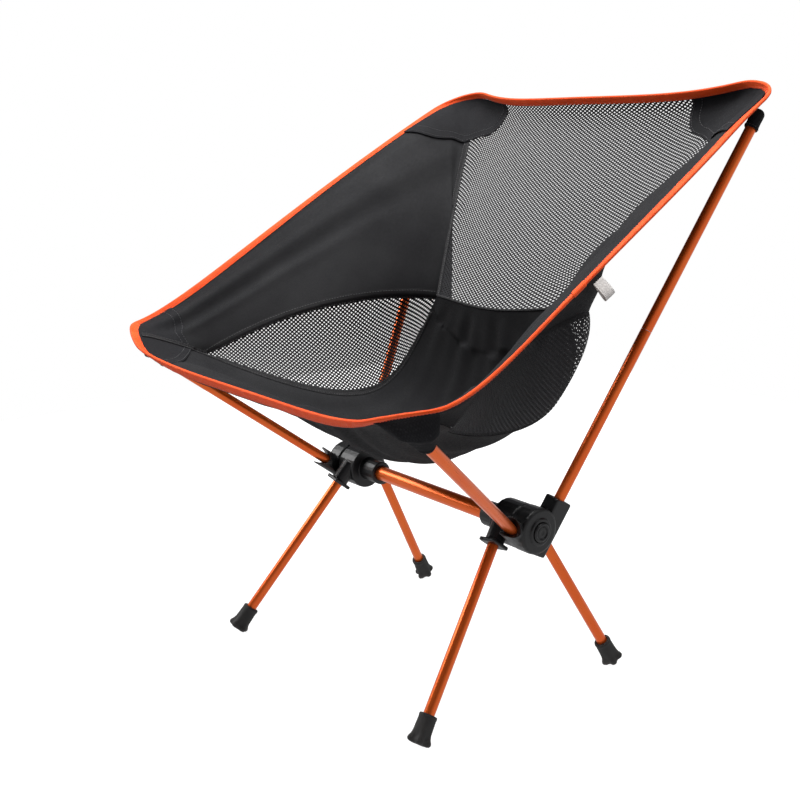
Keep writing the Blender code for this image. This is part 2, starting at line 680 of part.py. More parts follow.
def leaf_surface(u, v):
    """Side mesh between its upper and lower seams, u from the front tip to the back."""
    a = leaf_upper.at(1.0 - u)
    b = leaf_lower.at(1.0 - u)
    bow = 4.0 * v * (1.0 - v) * math.sin(math.pi * u)
    out = Vector((0.85, 0.25, -0.45)).normalized()
    return a.lerp(b, v) + out * (LEAF_BULGE * bow)


def sheet(name, kind, surface, side, columns, rows):
    """Grid laid on a surface at the given shares and thickened with Solidify."""
    nu = len(columns) - 1
    nv = len(rows[0]) - 1
    bm = bmesh.new()
    bmesh.ops.create_grid(bm, x_segments=nu, y_segments=nv, size=0.5)
    for v in bm.verts:
        column = round((v.co.x + 0.5) * nu)
        row = round((v.co.y + 0.5) * nv)
        p = surface(columns[column], rows[column][row])
        v.co = Vector((p.x * side, p.y, p.z))
    mesh = bpy.data.meshes.new(name)
    bm.to_mesh(mesh)
    bm.free()
    mesh.shade_smooth()
    ob = add_object(name, mesh, kind)
    solid = ob.modifiers.new("cloth", "SOLIDIFY")
    solid.thickness = CLOTH
    solid.offset = 0.0
    hang_on(ob, seat_empty)
    return ob


def spread(count, low, high, crowd):
    """Shares from low to high, closer together near both ends."""
    out = []
    for k in range(count + 1):
        t = k / count
        t -= crowd * math.sin(2.0 * math.pi * t) / (2.0 * math.pi)
        out.append(low + (high - low) * t)
    return out


def share_at(surface, u, depth):
    """Share v at which the surface lies the given depth inside its v = 0 edge."""
    step = 0.004
    share = 0.0
    walked = 0.0
    here = surface(u, 0.0)
    while share < 1.0:
        there = surface(u, share + step)
        span = (there - here).length
        if walked + span >= depth:
            return share + step * (depth - walked) / span
        walked += span
        here = there
        share += step
    return 1.0


def from_edge(surface, columns, count, last):
    """Row shares per column: the cut edge, the line where the tape ends, then even rows."""
    table = []
    for u in columns:
        first = share_at(surface, u, BIND_DEPTH + 0.0004)
        rest = [first + (last - first) * k / (count - 1) for k in range(count)]
        table.append([share_at(surface, u, EDGE_IN)] + rest)
    return table


EDGE_IN = 0.0010          # panel edge to the fold line of the tape
END_GAP = 0.0014          # panel corner to the end of its edge, measured along the edge
seat_empty = joint_empty("joint_seat_lift", Vector((0.0, 0.0, HUB_Z)))

side_cols = spread(18, END_GAP / side_edge.length, 1.0 - END_GAP / side_edge.length, 0.55)
side_rows = from_edge(side_surface, side_cols, 7, 1.0 - SEAM_GAP / 0.20)
back_cols = spread(14, END_GAP / top_edge.length, 1.0 - END_GAP / top_edge.length, 0.45)
back_rows = from_edge(back_surface, back_cols, 8, 1.0 - SEAM_GAP / back_seam.length)
base_cols = spread(14, END_GAP / front_edge.length, 1.0 - END_GAP / front_edge.length, 0.45)
base_rows = from_edge(bottom_from_front, base_cols, 11, 1.0 - SEAM_GAP / bottom_side.length)
leaf_cols = spread(12, 0.035, 0.965, 0.3)
leaf_rows = []
for share in leaf_cols:
    width = (leaf_upper.at(1.0 - share) - leaf_lower.at(1.0 - share)).length
    margin = min(0.45, SEAM_GAP * 1.3 / width)
    leaf_rows.append([margin + (1.0 - 2.0 * margin) * k / 5 for k in range(6)])

back_panel = sheet("back_mesh_panel", "mesh_cloth", back_surface, 1.0, back_cols, back_rows)
base_panel = sheet("seat_bottom_panel", "oxford_cloth", bottom_from_front, 1.0, base_cols,
                   base_rows)
side_panels = {}
for label, side in SIDES:
    side_panels[label] = sheet("side_panel_" + label, "oxford_cloth", side_surface, side,
                               side_cols, side_rows)
    sheet("side_mesh_" + label, "mesh_cloth", leaf_surface, side, leaf_cols, leaf_rows)


# ---------------------------------------------------------------- edge tape
def edge_stations():
    """Edge points with their inward direction along the cloth."""
    stations = []

    def add(surface, u, rows, flip):
        p = surface(u, 0.0)
        inside = surface(u, rows[1]) - p
        if flip:
            p = Vector((-p.x, p.y, p.z))
            inside = Vector((-inside.x, inside.y, inside.z))
        stations.append((p, inside.normalized()))

    for u, rows in zip(side_cols, side_rows):
        add(side_surface, u, rows, False)
    for u, rows in zip(back_cols, back_rows):
        add(back_surface, u, rows, False)
    for u, rows in zip(side_cols[::-1], side_rows[::-1]):
        add(side_surface, u, rows, True)
    for u, rows in zip(base_cols[::-1], base_rows[::-1]):
        add(bottom_from_front, u, rows, False)
    return stations


def edge_tape():
    rows = edge_stations()
    count = len(rows)
    section = [(BIND_DEPTH, BIND_HALF), (0.0, BIND_HALF), (-BIND_OVER, 0.0), (0.0, -BIND_HALF),
               (BIND_DEPTH, -BIND_HALF)]
    bm = bmesh.new()
    grid = []
    for i in range(count):
        here, inward = rows[i]
        tangent = (rows[(i + 1) % count][0] - rows[(i - 1) % count][0]).normalized()
        normal = tangent.cross(inward).normalized()
        grid.append([bm.verts.new(here + inward * a + normal * b) for a, b in section])
    for i in range(count):
        nxt = (i + 1) % count
        for k in range(len(section) - 1):
            bm.faces.new((grid[i][k], grid[nxt][k], grid[nxt][k + 1], grid[i][k + 1]))
    bmesh.ops.recalc_face_normals(bm, faces=bm.faces)
    mesh = bpy.data.meshes.new("edge_tape")
    bm.to_mesh(mesh)
    bm.free()
    mesh.shade_smooth()
    ob = add_object("edge_tape", mesh, "orange_tape")
    solid = ob.modifiers.new("tape", "SOLIDIFY")
    solid.thickness = BIND_T
    solid.offset = 0.0
    hang_on(ob, seat_empty)


edge_tape()


# ---------------------------------------------------------------- corner patches
def tree_of(*panels):
    points = []
    faces = []
    for ob in panels:
        start = len(points)
        points += [v.co.copy() for v in ob.data.vertices]
        faces += [[start + k for k in f.vertices] for f in ob.data.polygons]
    return BVHTree.FromPolygons(points, faces)


def patch(name, side, first, second, panels, reach, up_hint, near=0.0205, cells=(10, 5)):
    """Reinforcing layer over a corner: a fan that spans both panels at the seam."""
    tree = tree_of(*panels)
    up = Vector((up_hint[0] * side, up_hint[1], up_hint[2])).normalized()
    bm = bmesh.new()
    bmesh.ops.create_grid(bm, x_segments=cells[0], y_segments=cells[1], size=0.5)
    for v in bm.verts:
        turn = min(max(v.co.x + 0.5, 0.0), 1.0) * 2.0 - 1.0
        angle = (1.0 - abs(turn)) * math.pi / 2.0
        far = reach[0] + (reach[1] - reach[0]) * math.sin(angle)
        rho = 0.005 + (far - 0.005) * min(max(v.co.y + 0.5, 0.0), 1.0)
        across = rho * math.cos(angle)
        down = near + rho * math.sin(angle)
        p = first(across, down) if turn < 0.0 else second(across, down)
        p = Vector((p.x * side, p.y, p.z))
        spot, normal, _, _ = tree.find_nearest(p)
        v.co = spot
    bm.normal_update()
    for v in bm.verts:
        sign = 1.0 if v.normal.dot(up) > 0.0 else -1.0
        v.co += v.normal * (PATCH_LIFT * sign)
    mesh = bpy.data.meshes.new(name)
    bm.to_mesh(mesh)
    bm.free()
    mesh.shade_smooth()
    ob = add_object(name, mesh, "oxford_cloth")
    solid = ob.modifiers.new("cloth", "SOLIDIFY")
    solid.thickness = 0.0007
    solid.offset = 0.0
    hang_on(ob, seat_empty)
    return ob


def inside_edge(surface, u, depth):
    return surface(u, share_at(surface, u, depth))


def side_near_back(across, down):
    return inside_edge(side_surface, 1.0 - across / side_edge.length, down)


def back_near_corner(across, down):
    return inside_edge(back_surface, across / top_edge.length, down)


def side_near_front(across, down):
    return inside_edge(side_surface, across / side_edge.length, down)


def bottom_near_corner(across, down):
    return inside_edge(bottom_from_front, across / front_edge.length, down)


for label, side in SIDES:
    patch("patch_rear_" + label, side, side_near_back, back_near_corner,
          (side_panels[label], back_panel), PATCH_REAR, (-0.75, -0.60, 0.35))
    patch("patch_front_" + label, side, side_near_front, bottom_near_corner,
          (side_panels[label], base_panel), PATCH_FRONT, (-0.20, 0.28, 0.94))


# ---------------------------------------------------------------- pockets and tag
def pocket(name, side, front, length, half_width, half_height, up_hint):
    """Closed-ended fabric cup that the arm tip plugs into."""
    root, tip = arm_axis(side, front)
    d = (tip - root).normalized()
    up = Vector((up_hint[0] * side, up_hint[1], up_hint[2]))
    up = (up - d * up.dot(d)).normalized()
    across = d.cross(up)
    end = tip + d * 0.0015
    around = 14
    rows = 3
    bm = bmesh.new()
    grid = []
    for r in range(rows + 1):
        t = r / rows
        place = end - d * (length * (1.0 - t))
        wide = half_width[0] + (half_width[1] - half_width[0]) * t
        tall = half_height * (1.12 - 0.12 * t)
        if r == rows:
            wide *= 0.93
            tall *= 0.93
        ring = []
        for k in range(around):
            a = 2.0 * math.pi * k / around
            x = wide * math.copysign(abs(math.cos(a)) ** 0.9, math.cos(a))
            y = tall * math.copysign(abs(math.sin(a)) ** 0.8, math.sin(a))
            if y > 0.0:
                y = min(y, half_height)
            ring.append(bm.verts.new(place + across * x + up * y))
        grid.append(ring)
    for a, b in zip(grid, grid[1:]):
        for k in range(around):
            j = (k + 1) % around
            bm.faces.new((a[k], a[j], b[j], b[k]))
    bm.faces.new(grid[-1])
    bmesh.ops.recalc_face_normals(bm, faces=bm.faces)
    mesh = bpy.data.meshes.new(name)
    bm.to_mesh(mesh)
    bm.free()
    mesh.shade_smooth()
    ob = add_object(name, mesh, "oxford_cloth")
    solid = ob.modifiers.new("cloth", "SOLIDIFY")
    solid.thickness = 0.0008
    solid.offset = 0.0
    hang_on(ob, seat_empty)
    return ob


for label, side in SIDES:
    pocket("pocket_front_" + label, side, True, 0.030, (0.0135, 0.0098), 0.0072,
           (-0.20, 0.28, 0.94))
    pocket("pocket_rear_" + label, side, False, 0.030, (0.0094, 0.0084), 0.0070,
           (-0.875, -0.40, 0.27))

tag_share = 0.405
tag_place = side_edge.at(tag_share)
tag_inside = (side_surface(tag_share, 0.03) - side_surface(tag_share, 0.0)).normalized()
tag_run = (side_edge.at(tag_share + 0.01) - side_edge.at(tag_share - 0.01)).normalized()
tag_out = tag_run.cross(tag_inside).normalized()
if tag_out.x < 0.0:
    tag_out = -tag_out
tag_down = Vector((0.25, 0.0, -1.0)).normalized()
tag_down = (tag_down - tag_run * tag_down.dot(tag_run)).normalized()
tag_face = tag_run.cross(tag_down).normalized()
tag_rot = Matrix((tag_run, tag_down, tag_face)).transposed().to_4x4()
tag_centre = tag_place + tag_out * 0.0030 + tag_down * 0.0125
tag = block("care_tag", Matrix.Translation(tag_centre) @ tag_rot, (0.016, 0.018, 0.0007),
            "white_tag")
hang_on(tag, seat_empty)

# ---------------------------------------------------------------- origin
chair = joint_empty("chair_origin", Vector((0.0, -MIDDLE_Y, 0.0)))
for ob in bpy.data.objects:
    if ob.parent is None and ob is not chair:
        ob.parent = chair
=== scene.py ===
"""Looks of the ultralight backpacking chair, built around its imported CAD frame.

Metres, +Z up.  The chair faces -Y, and "right" is +X.  The sling's curves repeat
those of the CAD part, so every cloth piece lies where its CAD solid does.
"""

import json
import math

import bmesh
import bpy
import numpy as np
from mathutils import Matrix, Vector
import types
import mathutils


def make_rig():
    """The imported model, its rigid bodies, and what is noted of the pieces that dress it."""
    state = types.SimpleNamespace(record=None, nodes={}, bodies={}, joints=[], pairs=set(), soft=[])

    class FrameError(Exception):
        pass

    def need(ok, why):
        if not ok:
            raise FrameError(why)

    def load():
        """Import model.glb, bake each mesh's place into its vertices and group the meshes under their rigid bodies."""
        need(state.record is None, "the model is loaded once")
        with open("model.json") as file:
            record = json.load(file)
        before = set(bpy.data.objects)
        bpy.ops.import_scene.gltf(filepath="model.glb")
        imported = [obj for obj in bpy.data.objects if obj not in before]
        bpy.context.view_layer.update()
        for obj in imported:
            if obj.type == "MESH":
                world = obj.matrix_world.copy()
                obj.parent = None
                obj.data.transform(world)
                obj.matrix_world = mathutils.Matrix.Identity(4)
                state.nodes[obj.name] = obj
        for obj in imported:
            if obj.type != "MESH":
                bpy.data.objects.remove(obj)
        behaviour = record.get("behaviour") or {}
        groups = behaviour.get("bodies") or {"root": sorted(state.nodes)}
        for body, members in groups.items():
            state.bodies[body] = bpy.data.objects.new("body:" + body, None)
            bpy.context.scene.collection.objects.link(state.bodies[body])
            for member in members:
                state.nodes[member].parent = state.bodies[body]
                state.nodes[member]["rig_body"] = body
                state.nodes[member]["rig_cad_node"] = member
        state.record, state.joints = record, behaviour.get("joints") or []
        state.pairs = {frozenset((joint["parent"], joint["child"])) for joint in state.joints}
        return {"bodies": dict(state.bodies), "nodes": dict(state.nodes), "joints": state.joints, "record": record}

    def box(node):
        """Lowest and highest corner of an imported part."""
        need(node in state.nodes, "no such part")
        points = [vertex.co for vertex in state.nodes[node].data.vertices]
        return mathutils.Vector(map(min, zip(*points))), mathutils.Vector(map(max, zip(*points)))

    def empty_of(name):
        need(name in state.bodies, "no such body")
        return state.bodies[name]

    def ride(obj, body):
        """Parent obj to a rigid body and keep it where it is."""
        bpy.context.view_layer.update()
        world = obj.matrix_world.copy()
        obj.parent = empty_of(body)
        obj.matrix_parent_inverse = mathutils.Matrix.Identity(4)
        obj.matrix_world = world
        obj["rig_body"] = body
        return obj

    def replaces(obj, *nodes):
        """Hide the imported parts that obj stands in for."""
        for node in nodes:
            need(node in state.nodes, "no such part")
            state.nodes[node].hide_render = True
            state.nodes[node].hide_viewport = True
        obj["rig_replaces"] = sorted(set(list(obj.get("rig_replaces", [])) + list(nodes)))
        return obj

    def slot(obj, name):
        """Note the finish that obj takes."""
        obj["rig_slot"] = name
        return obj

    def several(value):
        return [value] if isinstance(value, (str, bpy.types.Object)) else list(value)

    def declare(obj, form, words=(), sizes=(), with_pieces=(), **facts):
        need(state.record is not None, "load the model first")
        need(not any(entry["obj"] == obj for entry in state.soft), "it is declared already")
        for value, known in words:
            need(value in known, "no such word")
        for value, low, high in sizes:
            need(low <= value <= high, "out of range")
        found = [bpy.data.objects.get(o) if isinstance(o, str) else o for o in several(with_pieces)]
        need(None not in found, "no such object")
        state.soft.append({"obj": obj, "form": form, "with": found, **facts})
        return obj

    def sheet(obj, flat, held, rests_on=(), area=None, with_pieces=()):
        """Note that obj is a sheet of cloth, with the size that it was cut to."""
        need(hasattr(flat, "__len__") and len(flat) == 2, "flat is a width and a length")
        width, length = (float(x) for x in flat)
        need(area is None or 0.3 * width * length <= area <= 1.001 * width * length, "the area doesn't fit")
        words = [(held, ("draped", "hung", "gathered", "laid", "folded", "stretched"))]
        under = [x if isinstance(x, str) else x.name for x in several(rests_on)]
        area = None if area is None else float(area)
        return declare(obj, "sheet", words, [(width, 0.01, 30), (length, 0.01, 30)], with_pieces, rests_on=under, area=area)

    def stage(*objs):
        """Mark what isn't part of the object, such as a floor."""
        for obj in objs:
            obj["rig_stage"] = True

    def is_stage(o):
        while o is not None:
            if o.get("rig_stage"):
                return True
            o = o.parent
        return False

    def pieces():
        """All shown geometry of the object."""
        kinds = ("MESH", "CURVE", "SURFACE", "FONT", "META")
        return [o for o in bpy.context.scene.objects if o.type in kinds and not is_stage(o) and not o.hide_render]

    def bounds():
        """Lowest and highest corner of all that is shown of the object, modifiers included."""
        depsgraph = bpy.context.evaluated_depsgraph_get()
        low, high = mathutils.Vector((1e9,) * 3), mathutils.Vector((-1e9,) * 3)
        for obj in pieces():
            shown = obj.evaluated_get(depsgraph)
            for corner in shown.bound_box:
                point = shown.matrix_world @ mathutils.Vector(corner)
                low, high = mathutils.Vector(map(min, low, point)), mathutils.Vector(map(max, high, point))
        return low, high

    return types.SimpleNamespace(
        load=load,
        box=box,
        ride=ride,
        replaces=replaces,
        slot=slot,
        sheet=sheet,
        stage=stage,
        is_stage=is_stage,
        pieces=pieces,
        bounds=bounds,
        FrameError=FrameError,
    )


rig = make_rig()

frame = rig.load()
cad_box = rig.bounds()
NODES = frame["nodes"]
SIDES = (("right", 1.0), ("left", -1.0))
CENTRE = Vector((0.0, -0.0072, 0.1888))  # middle of the crossbar
HUBS = {label: CENTRE + Vector((0.15 * side, 0.0, 0.0)) for label, side in SIDES}

# ------------------------ node graphs
class Graph:
    """The node tree of a world, or of a new material, with short calls for its nodes."""

    def __init__(self, owner):
        self.owner = bpy.data.materials.new(owner) if isinstance(owner, str) else owner
        self.owner.use_nodes = True
        self.nodes = self.owner.node_tree.nodes
        self.links = self.owner.node_tree.links

    def put(self, value, socket):
        if isinstance(value, bpy.types.NodeSocket):
            self.links.new(value, socket)
        else:
            socket.default_value = value

    def node(self, kind, inputs, output=0, **settings):
        """A new node's output; inputs maps a socket's name or number to a value or a socket."""
        node = self.nodes.new("ShaderNode" + kind)
        for name, value in settings.items():
            setattr(node, name, value)
        for name, value in inputs.items():
            self.put(value, node.inputs[name])
        return node.outputs[output]

    def place(self):
        return self.node("TexCoord", {}, "Object")

    def uv(self):
        return self.node("UVMap", {}, uv_map="cloth")

    def axis(self, vector, name):
        return self.node("SeparateXYZ", {0: vector}, name)

    def stretch(self, vector, scale, turn=0.0):
        return self.node("Mapping", {"Vector": vector, "Scale": scale,
                                     "Rotation": (0.0, 0.0, turn)})

    def noise(self, vector, scale, detail=3.0, rough=0.55):
        return self.node("TexNoise", {"Vector": vector, "Scale": scale, "Detail": detail,
                                      "Roughness": rough})

    def maths(self, operation, a, b=0.0):
        return self.node("Math", {0: a, 1: b}, operation=operation)

    def ramp(self, factor, *stops):
        """Map from (position, value) stops; a value is a grey level or a colour."""
        node = self.nodes.new("ShaderNodeValToRGB")
        self.links.new(factor, node.inputs[0])
        for element, (position, value) in zip(node.color_ramp.elements, stops):
            element.position = position
            colour = (value,) * 3 if isinstance(value, float) else value
            element.color = (*colour, 1.0)
        return node.outputs[0]

    def mix(self, factor, a, b):
        a, b = ((*c, 1.0) if isinstance(c, tuple) else c for c in (a, b))
        return self.node("Mix", {0: factor, 6: a, 7: b}, 2, data_type="RGBA")

    def bump(self, height, distance, strength=1.0, under=None):
        inputs = {"Height": height, "Distance": distance, "Strength": strength}
        if under is not None:
            inputs["Normal"] = under
        return self.node("Bump", inputs)

    def weave(self, vector, pitch, turn=0.0):
        """Plain weave: rounded threads that pass over and under each other, 0 to 1."""
        mapped = self.stretch(vector, (1.0 / pitch,) * 3, turn)
        x, y = (self.maths("SINE", self.maths("MULTIPLY", self.axis(mapped, name), math.pi))
                for name in "XY")
        over = self.maths("MULTIPLY", x, y)
        crown = self.maths("SQRT", self.maths("ABSOLUTE", over))
        return self.maths("ADD", self.maths("MULTIPLY", crown, 0.75),
                          self.maths("MULTIPLY", over, 0.22))

    def finish(self, colour, roughness, normal, **constants):
        """The material, with the constants on the shader's own sockets."""
        shader = self.nodes["Principled BSDF"]
        inputs = {"Base Color": colour, "Roughness": roughness, "Normal": normal}
        for name, value in constants.items():
            inputs[name.replace("_", " ").title().replace("Ior", "IOR")] = value
        for name, value in inputs.items():
            self.put(value, shader.inputs[name])
        return self.owner


# ------------------------ camera, lights, world
scene = bpy.context.scene
scene.view_settings.view_transform = "Standard"
scene.view_settings.look = "None"

AIM = Vector((0.0, -0.0072, 0.3218))
AZIMUTH, ELEVATION, DISTANCE = math.radians(50.49), math.radians(12.13), 1.280
towards_camera = Vector((math.sin(AZIMUTH) * math.cos(ELEVATION),
                         -math.cos(AZIMUTH) * math.cos(ELEVATION), math.sin(ELEVATION)))
camera_data = bpy.data.cameras.new("camera")
camera_data.lens = 50.99
camera_data.sensor_width = 36.0
camera_data.shift_x = -0.0399
camera_data.shift_y = -0.0260
camera_data.clip_end = 100.0
camera = bpy.data.objects.new("camera", camera_data)
camera.location = AIM + towards_camera * DISTANCE
camera.rotation_euler = towards_camera.to_track_quat("Z", "Y").to_euler()
scene.collection.objects.link(camera)
scene.camera = camera
SLING_MIDDLE = Vector((0.0, 0.0, 0.33))


def softbox(name, place, size, power):
    """Square area light that faces the sling."""
    data = bpy.data.lights.new(name, "AREA")
    data.size = size
    data.energy = power
    ob = bpy.data.objects.new(name, data)
    ob.location = place
    ob.rotation_euler = (Vector(place) - SLING_MIDDLE).to_track_quat("Z", "Y").to_euler()
    scene.collection.objects.link(ob)


softbox("key_light", (-2.1, -1.3, 1.9), 1.8, 60.0)
softbox("right_light", (1.9, 0.9, 2.2), 0.9, 9.0)
softbox("top_light", (-0.1, 0.1, 2.6), 1.8, 135.0)

# the camera sees white, and the surfaces are lit by a darker dome that is brightest low down
world = bpy.data.worlds.new("studio")
scene.world = world
sky = Graph(world)
height = sky.axis(sky.node("TexCoord", {}, "Generated"), "Z")
dome = sky.ramp(height, (0.0, (0.66, 0.66, 0.67)), (0.35, (0.10, 0.10, 0.11)))
seen = sky.node("LightPath", {}, "Is Camera Ray")
sky.put(sky.mix(seen, dome, (1.0, 1.0, 1.0)), sky.nodes["Background"].inputs["Color"])
sky.nodes["Background"].inputs["Strength"].default_value = 1.0


# ------------------------ materials
def cloth_material(name, dark, light, pitch, turn=0.0):
    g = Graph(name)
    uv = g.uv()
    weave = g.weave(uv, pitch, turn)
    tone = g.noise(g.place(), 9.0, 4.0)
    fibre = g.noise(uv, 1400.0, 2.0)
    base = g.mix(g.ramp(tone, (0.32, 0.0), (0.70, 1.0)), dark, light)
    shaded = g.mix(g.ramp(weave, (0.05, 0.55), (0.8, 0.0)), base, (0.004, 0.004, 0.005))
    colour = g.mix(g.ramp(fibre, (0.60, 0.0), (0.78, 0.35)), shaded, (0.045, 0.045, 0.048))
    rough = g.ramp(g.noise(uv, 260.0), (0.3, 0.62), (0.7, 0.80))
    normal = g.bump(weave, 0.00022, 0.9, g.bump(tone, 0.0012, 0.5))
    return g.finish(colour, rough, normal, sheen_weight=0.01, sheen_roughness=0.45,
                    specular_ior_level=0.06)


def mesh_material():
    g = Graph("knitted_mesh")
    uv = g.uv()
    strands = g.weave(uv, 0.00062, math.radians(45))
    tone = g.noise(g.place(), 14.0)
    base = g.mix(tone, (0.011, 0.011, 0.012), (0.026, 0.026, 0.028))
    # painted shade: darker where the strands dip between each other
    colour = g.mix(g.ramp(strands, (0.1, 0.5), (0.8, 0.0)), base, (0.003, 0.003, 0.004))
    rough = g.ramp(g.noise(uv, 500.0), (0.3, 0.60), (0.7, 0.82))
    return g.finish(colour, rough, g.bump(strands, 0.00025, 0.9), sheen_weight=0.02,
                    sheen_roughness=0.4, specular_ior_level=0.10)


def tape_material(name, base, light, rib=0.0013):
    g = Graph(name)
    uv = g.uv()
    ribs = g.weave(g.stretch(uv, (1.0, 0.62, 1.0)), rib * 0.62)
    tone = g.noise(uv, 60.0, 4.0)
    worn = g.noise(g.place(), 220.0, 3.0)
    colour = g.mix(g.ramp(tone, (0.35, 0.0), (0.75, 0.55)), base, light)
    # painted shade: darker in the valleys between the ribs
    colour = g.mix(g.ramp(ribs, (0.05, 0.5), (0.65, 0.0)), colour,
                   (base[0] * 0.5, base[1] * 0.32, base[2] * 0.3))
    colour = g.mix(g.ramp(worn, (0.62, 0.0), (0.80, 0.5)), colour, light)
    rough = g.ramp(worn, (0.3, 0.52), (0.7, 0.70))
    return g.finish(colour, rough, g.bump(ribs, 0.0003, 1.0), sheen_weight=0.04,
                    sheen_roughness=0.4, specular_ior_level=0.14)


def thread_material(name, colour):
    g = Graph(name)
    place = g.place()
    twist = g.noise(place, 3200.0, 2.0)
    tone = g.mix(g.ramp(twist, (0.3, 0.0), (0.7, 1.0)), tuple(c * 0.6 for c in colour), colour)
    return g.finish(tone, g.ramp(twist, (0.3, 0.45), (0.7, 0.62)), g.bump(twist, 0.0001, 0.6),
                    sheen_weight=0.2, sheen_roughness=0.4)


def anodised_material():
    g = Graph("orange_anodised_aluminium")
    uv = g.uv()
    grain = g.noise(g.stretch(uv, (2600.0, 45.0, 1.0)), 1.0, 3.0, 0.6)
    tone = g.noise(g.place(), 16.0, 3.0)
    scuff = g.noise(g.stretch(uv, (900.0, 120.0, 1.0)), 1.0, 5.0, 0.7)
    colour = g.mix(g.ramp(tone, (0.3, 0.0), (0.7, 1.0)), (0.92, 0.128, 0.012),
                   (0.98, 0.175, 0.020))
    colour = g.mix(g.ramp(grain, (0.35, 0.12), (0.6, 0.0)), colour, (0.55, 0.07, 0.010))
    colour = g.mix(g.ramp(scuff, (0.66, 0.0), (0.74, 0.22)), colour, (0.92, 0.42, 0.22))
    rough = g.ramp(grain, (0.25, 0.26), (0.75, 0.33))
    return g.finish(colour, rough, g.bump(grain, 0.00003, 0.08), metallic=0.62,
                    coat_weight=0.14, coat_roughness=0.16)


def plastic_material():
    g = Graph("moulded_hub_plastic")
    place = g.place()
    grain = g.noise(place, 2600.0, 2.0)
    flow = g.noise(place, 70.0, 4.0)
    scratch = g.noise(g.stretch(place, (900.0, 120.0, 400.0)), 1.0, 4.0, 0.7)
    edge = g.ramp(g.node("NewGeometry", {}, "Pointiness"), (0.50, 0.0), (0.62, 0.75))
    colour = g.mix(flow, (0.004, 0.004, 0.004), (0.008, 0.008, 0.009))
    colour = g.mix(g.maths("MULTIPLY", edge, g.ramp(scratch, (0.35, 0.2), (0.6, 1.0))),
                   colour, (0.050, 0.050, 0.049))
    rough = g.ramp(scratch, (0.35, 0.30), (0.72, 0.48))
    normal = g.bump(grain, 0.00006, 0.7, g.bump(flow, 0.0004, 0.3))
    return g.finish(colour, rough, normal, specular_ior_level=0.42, coat_weight=0.04,
                    coat_roughness=0.25)


def rubber_material():
    g = Graph("foot_rubber_surface")
    place = g.place()
    grain = g.noise(place, 1500.0, 3.0)
    dust = g.noise(place, 120.0, 5.0)
    near_floor = g.ramp(g.maths("MULTIPLY", g.axis(place, "Z"), 60.0), (0.0, 0.75), (0.5, 0.0))
    colour = g.mix(g.ramp(dust, (0.35, 0.0), (0.75, 0.6)), (0.028, 0.027, 0.026),
                   (0.060, 0.057, 0.054))
    colour = g.mix(g.maths("MULTIPLY", near_floor, dust), colour, (0.16, 0.15, 0.14))
    rough = g.ramp(dust, (0.3, 0.62), (0.7, 0.86))
    return g.finish(colour, rough, g.bump(grain, 0.0001, 0.6), specular_ior_level=0.35)


def metal_material(name, colour, low, high):
    g = Graph(name)
    place = g.place()
    lines = g.noise(g.stretch(place, (150.0, 2600.0, 2600.0)), 1.0, 3.0)
    stain = g.noise(place, 130.0, 4.0)
    tone = g.mix(g.ramp(stain, (0.4, 0.0), (0.8, 0.5)), colour, tuple(c * 0.6 for c in colour))
    return g.finish(tone, g.ramp(lines, (0.3, low), (0.7, high)), g.bump(lines, 0.00003, 0.5),
                    metallic=1.0)


def braid_material():
    g = Graph("elastic_cord_braid")
    place = g.place()
    braid = g.node("TexWave", {"Vector": place, "Scale": 420.0, "Distortion": 3.0}, "Fac")
    fibre = g.noise(place, 2400.0)
    # painted shade: darker in the braid's grooves than on its crests
    colour = g.mix(braid, (0.012, 0.012, 0.013), (0.045, 0.045, 0.048))
    return g.finish(colour, g.ramp(fibre, (0.3, 0.65), (0.7, 0.85)),
                    g.bump(braid, 0.0002, 0.8))


CLOTH = cloth_material("oxford_charcoal", (0.013, 0.013, 0.014), (0.024, 0.024, 0.025), 0.00072)
PATCH_CLOTH = cloth_material("oxford_patch", (0.010, 0.010, 0.011), (0.019, 0.019, 0.021),
                             0.00060, math.radians(38))
BAND_CLOTH = tape_material("black_seam_binding", (0.008, 0.008, 0.009), (0.018, 0.018, 0.019),
                           0.0010)
MESH = mesh_material()
TAPE = tape_material("orange_binding", (0.84, 0.075, 0.008), (0.90, 0.135, 0.028))
ORANGE_THREAD = thread_material("orange_thread", (0.72, 0.070, 0.014))
BLACK_THREAD = thread_material("black_thread", (0.045, 0.045, 0.048))
TAG = tape_material("white_satin_ribbon", (0.74, 0.73, 0.70), (0.86, 0.86, 0.84), 0.0006)
ANODISED = anodised_material()
PLASTIC = plastic_material()
RUBBER = rubber_material()
STEEL = metal_material("pin_steel_turned", (0.56, 0.56, 0.57), 0.22, 0.38)
BARE = metal_material("bare_aluminium_drawn", (0.78, 0.78, 0.79), 0.24, 0.40)
CORD = braid_material()


# ------------------------ mesh tools
def add_piece(name, verts, faces, material, uv=None):
    mesh = bpy.data.meshes.new(name)
    mesh.from_pydata(np.asarray(verts, float).tolist(), [],
                     [tuple(int(i) for i in f) for f in faces])
    if uv is not None:
        layer = mesh.uv_layers.new(name="cloth")
        index = np.zeros(len(mesh.loops), np.int32)
        mesh.loops.foreach_get("vertex_index", index)
        layer.data.foreach_set("uv", np.asarray(uv, np.float32)[index].ravel())
    mesh.validate()
    mesh.shade_smooth()
    mesh.materials.append(material)
    ob = bpy.data.objects.new(name, mesh)
    scene.collection.objects.link(ob)
    return ob


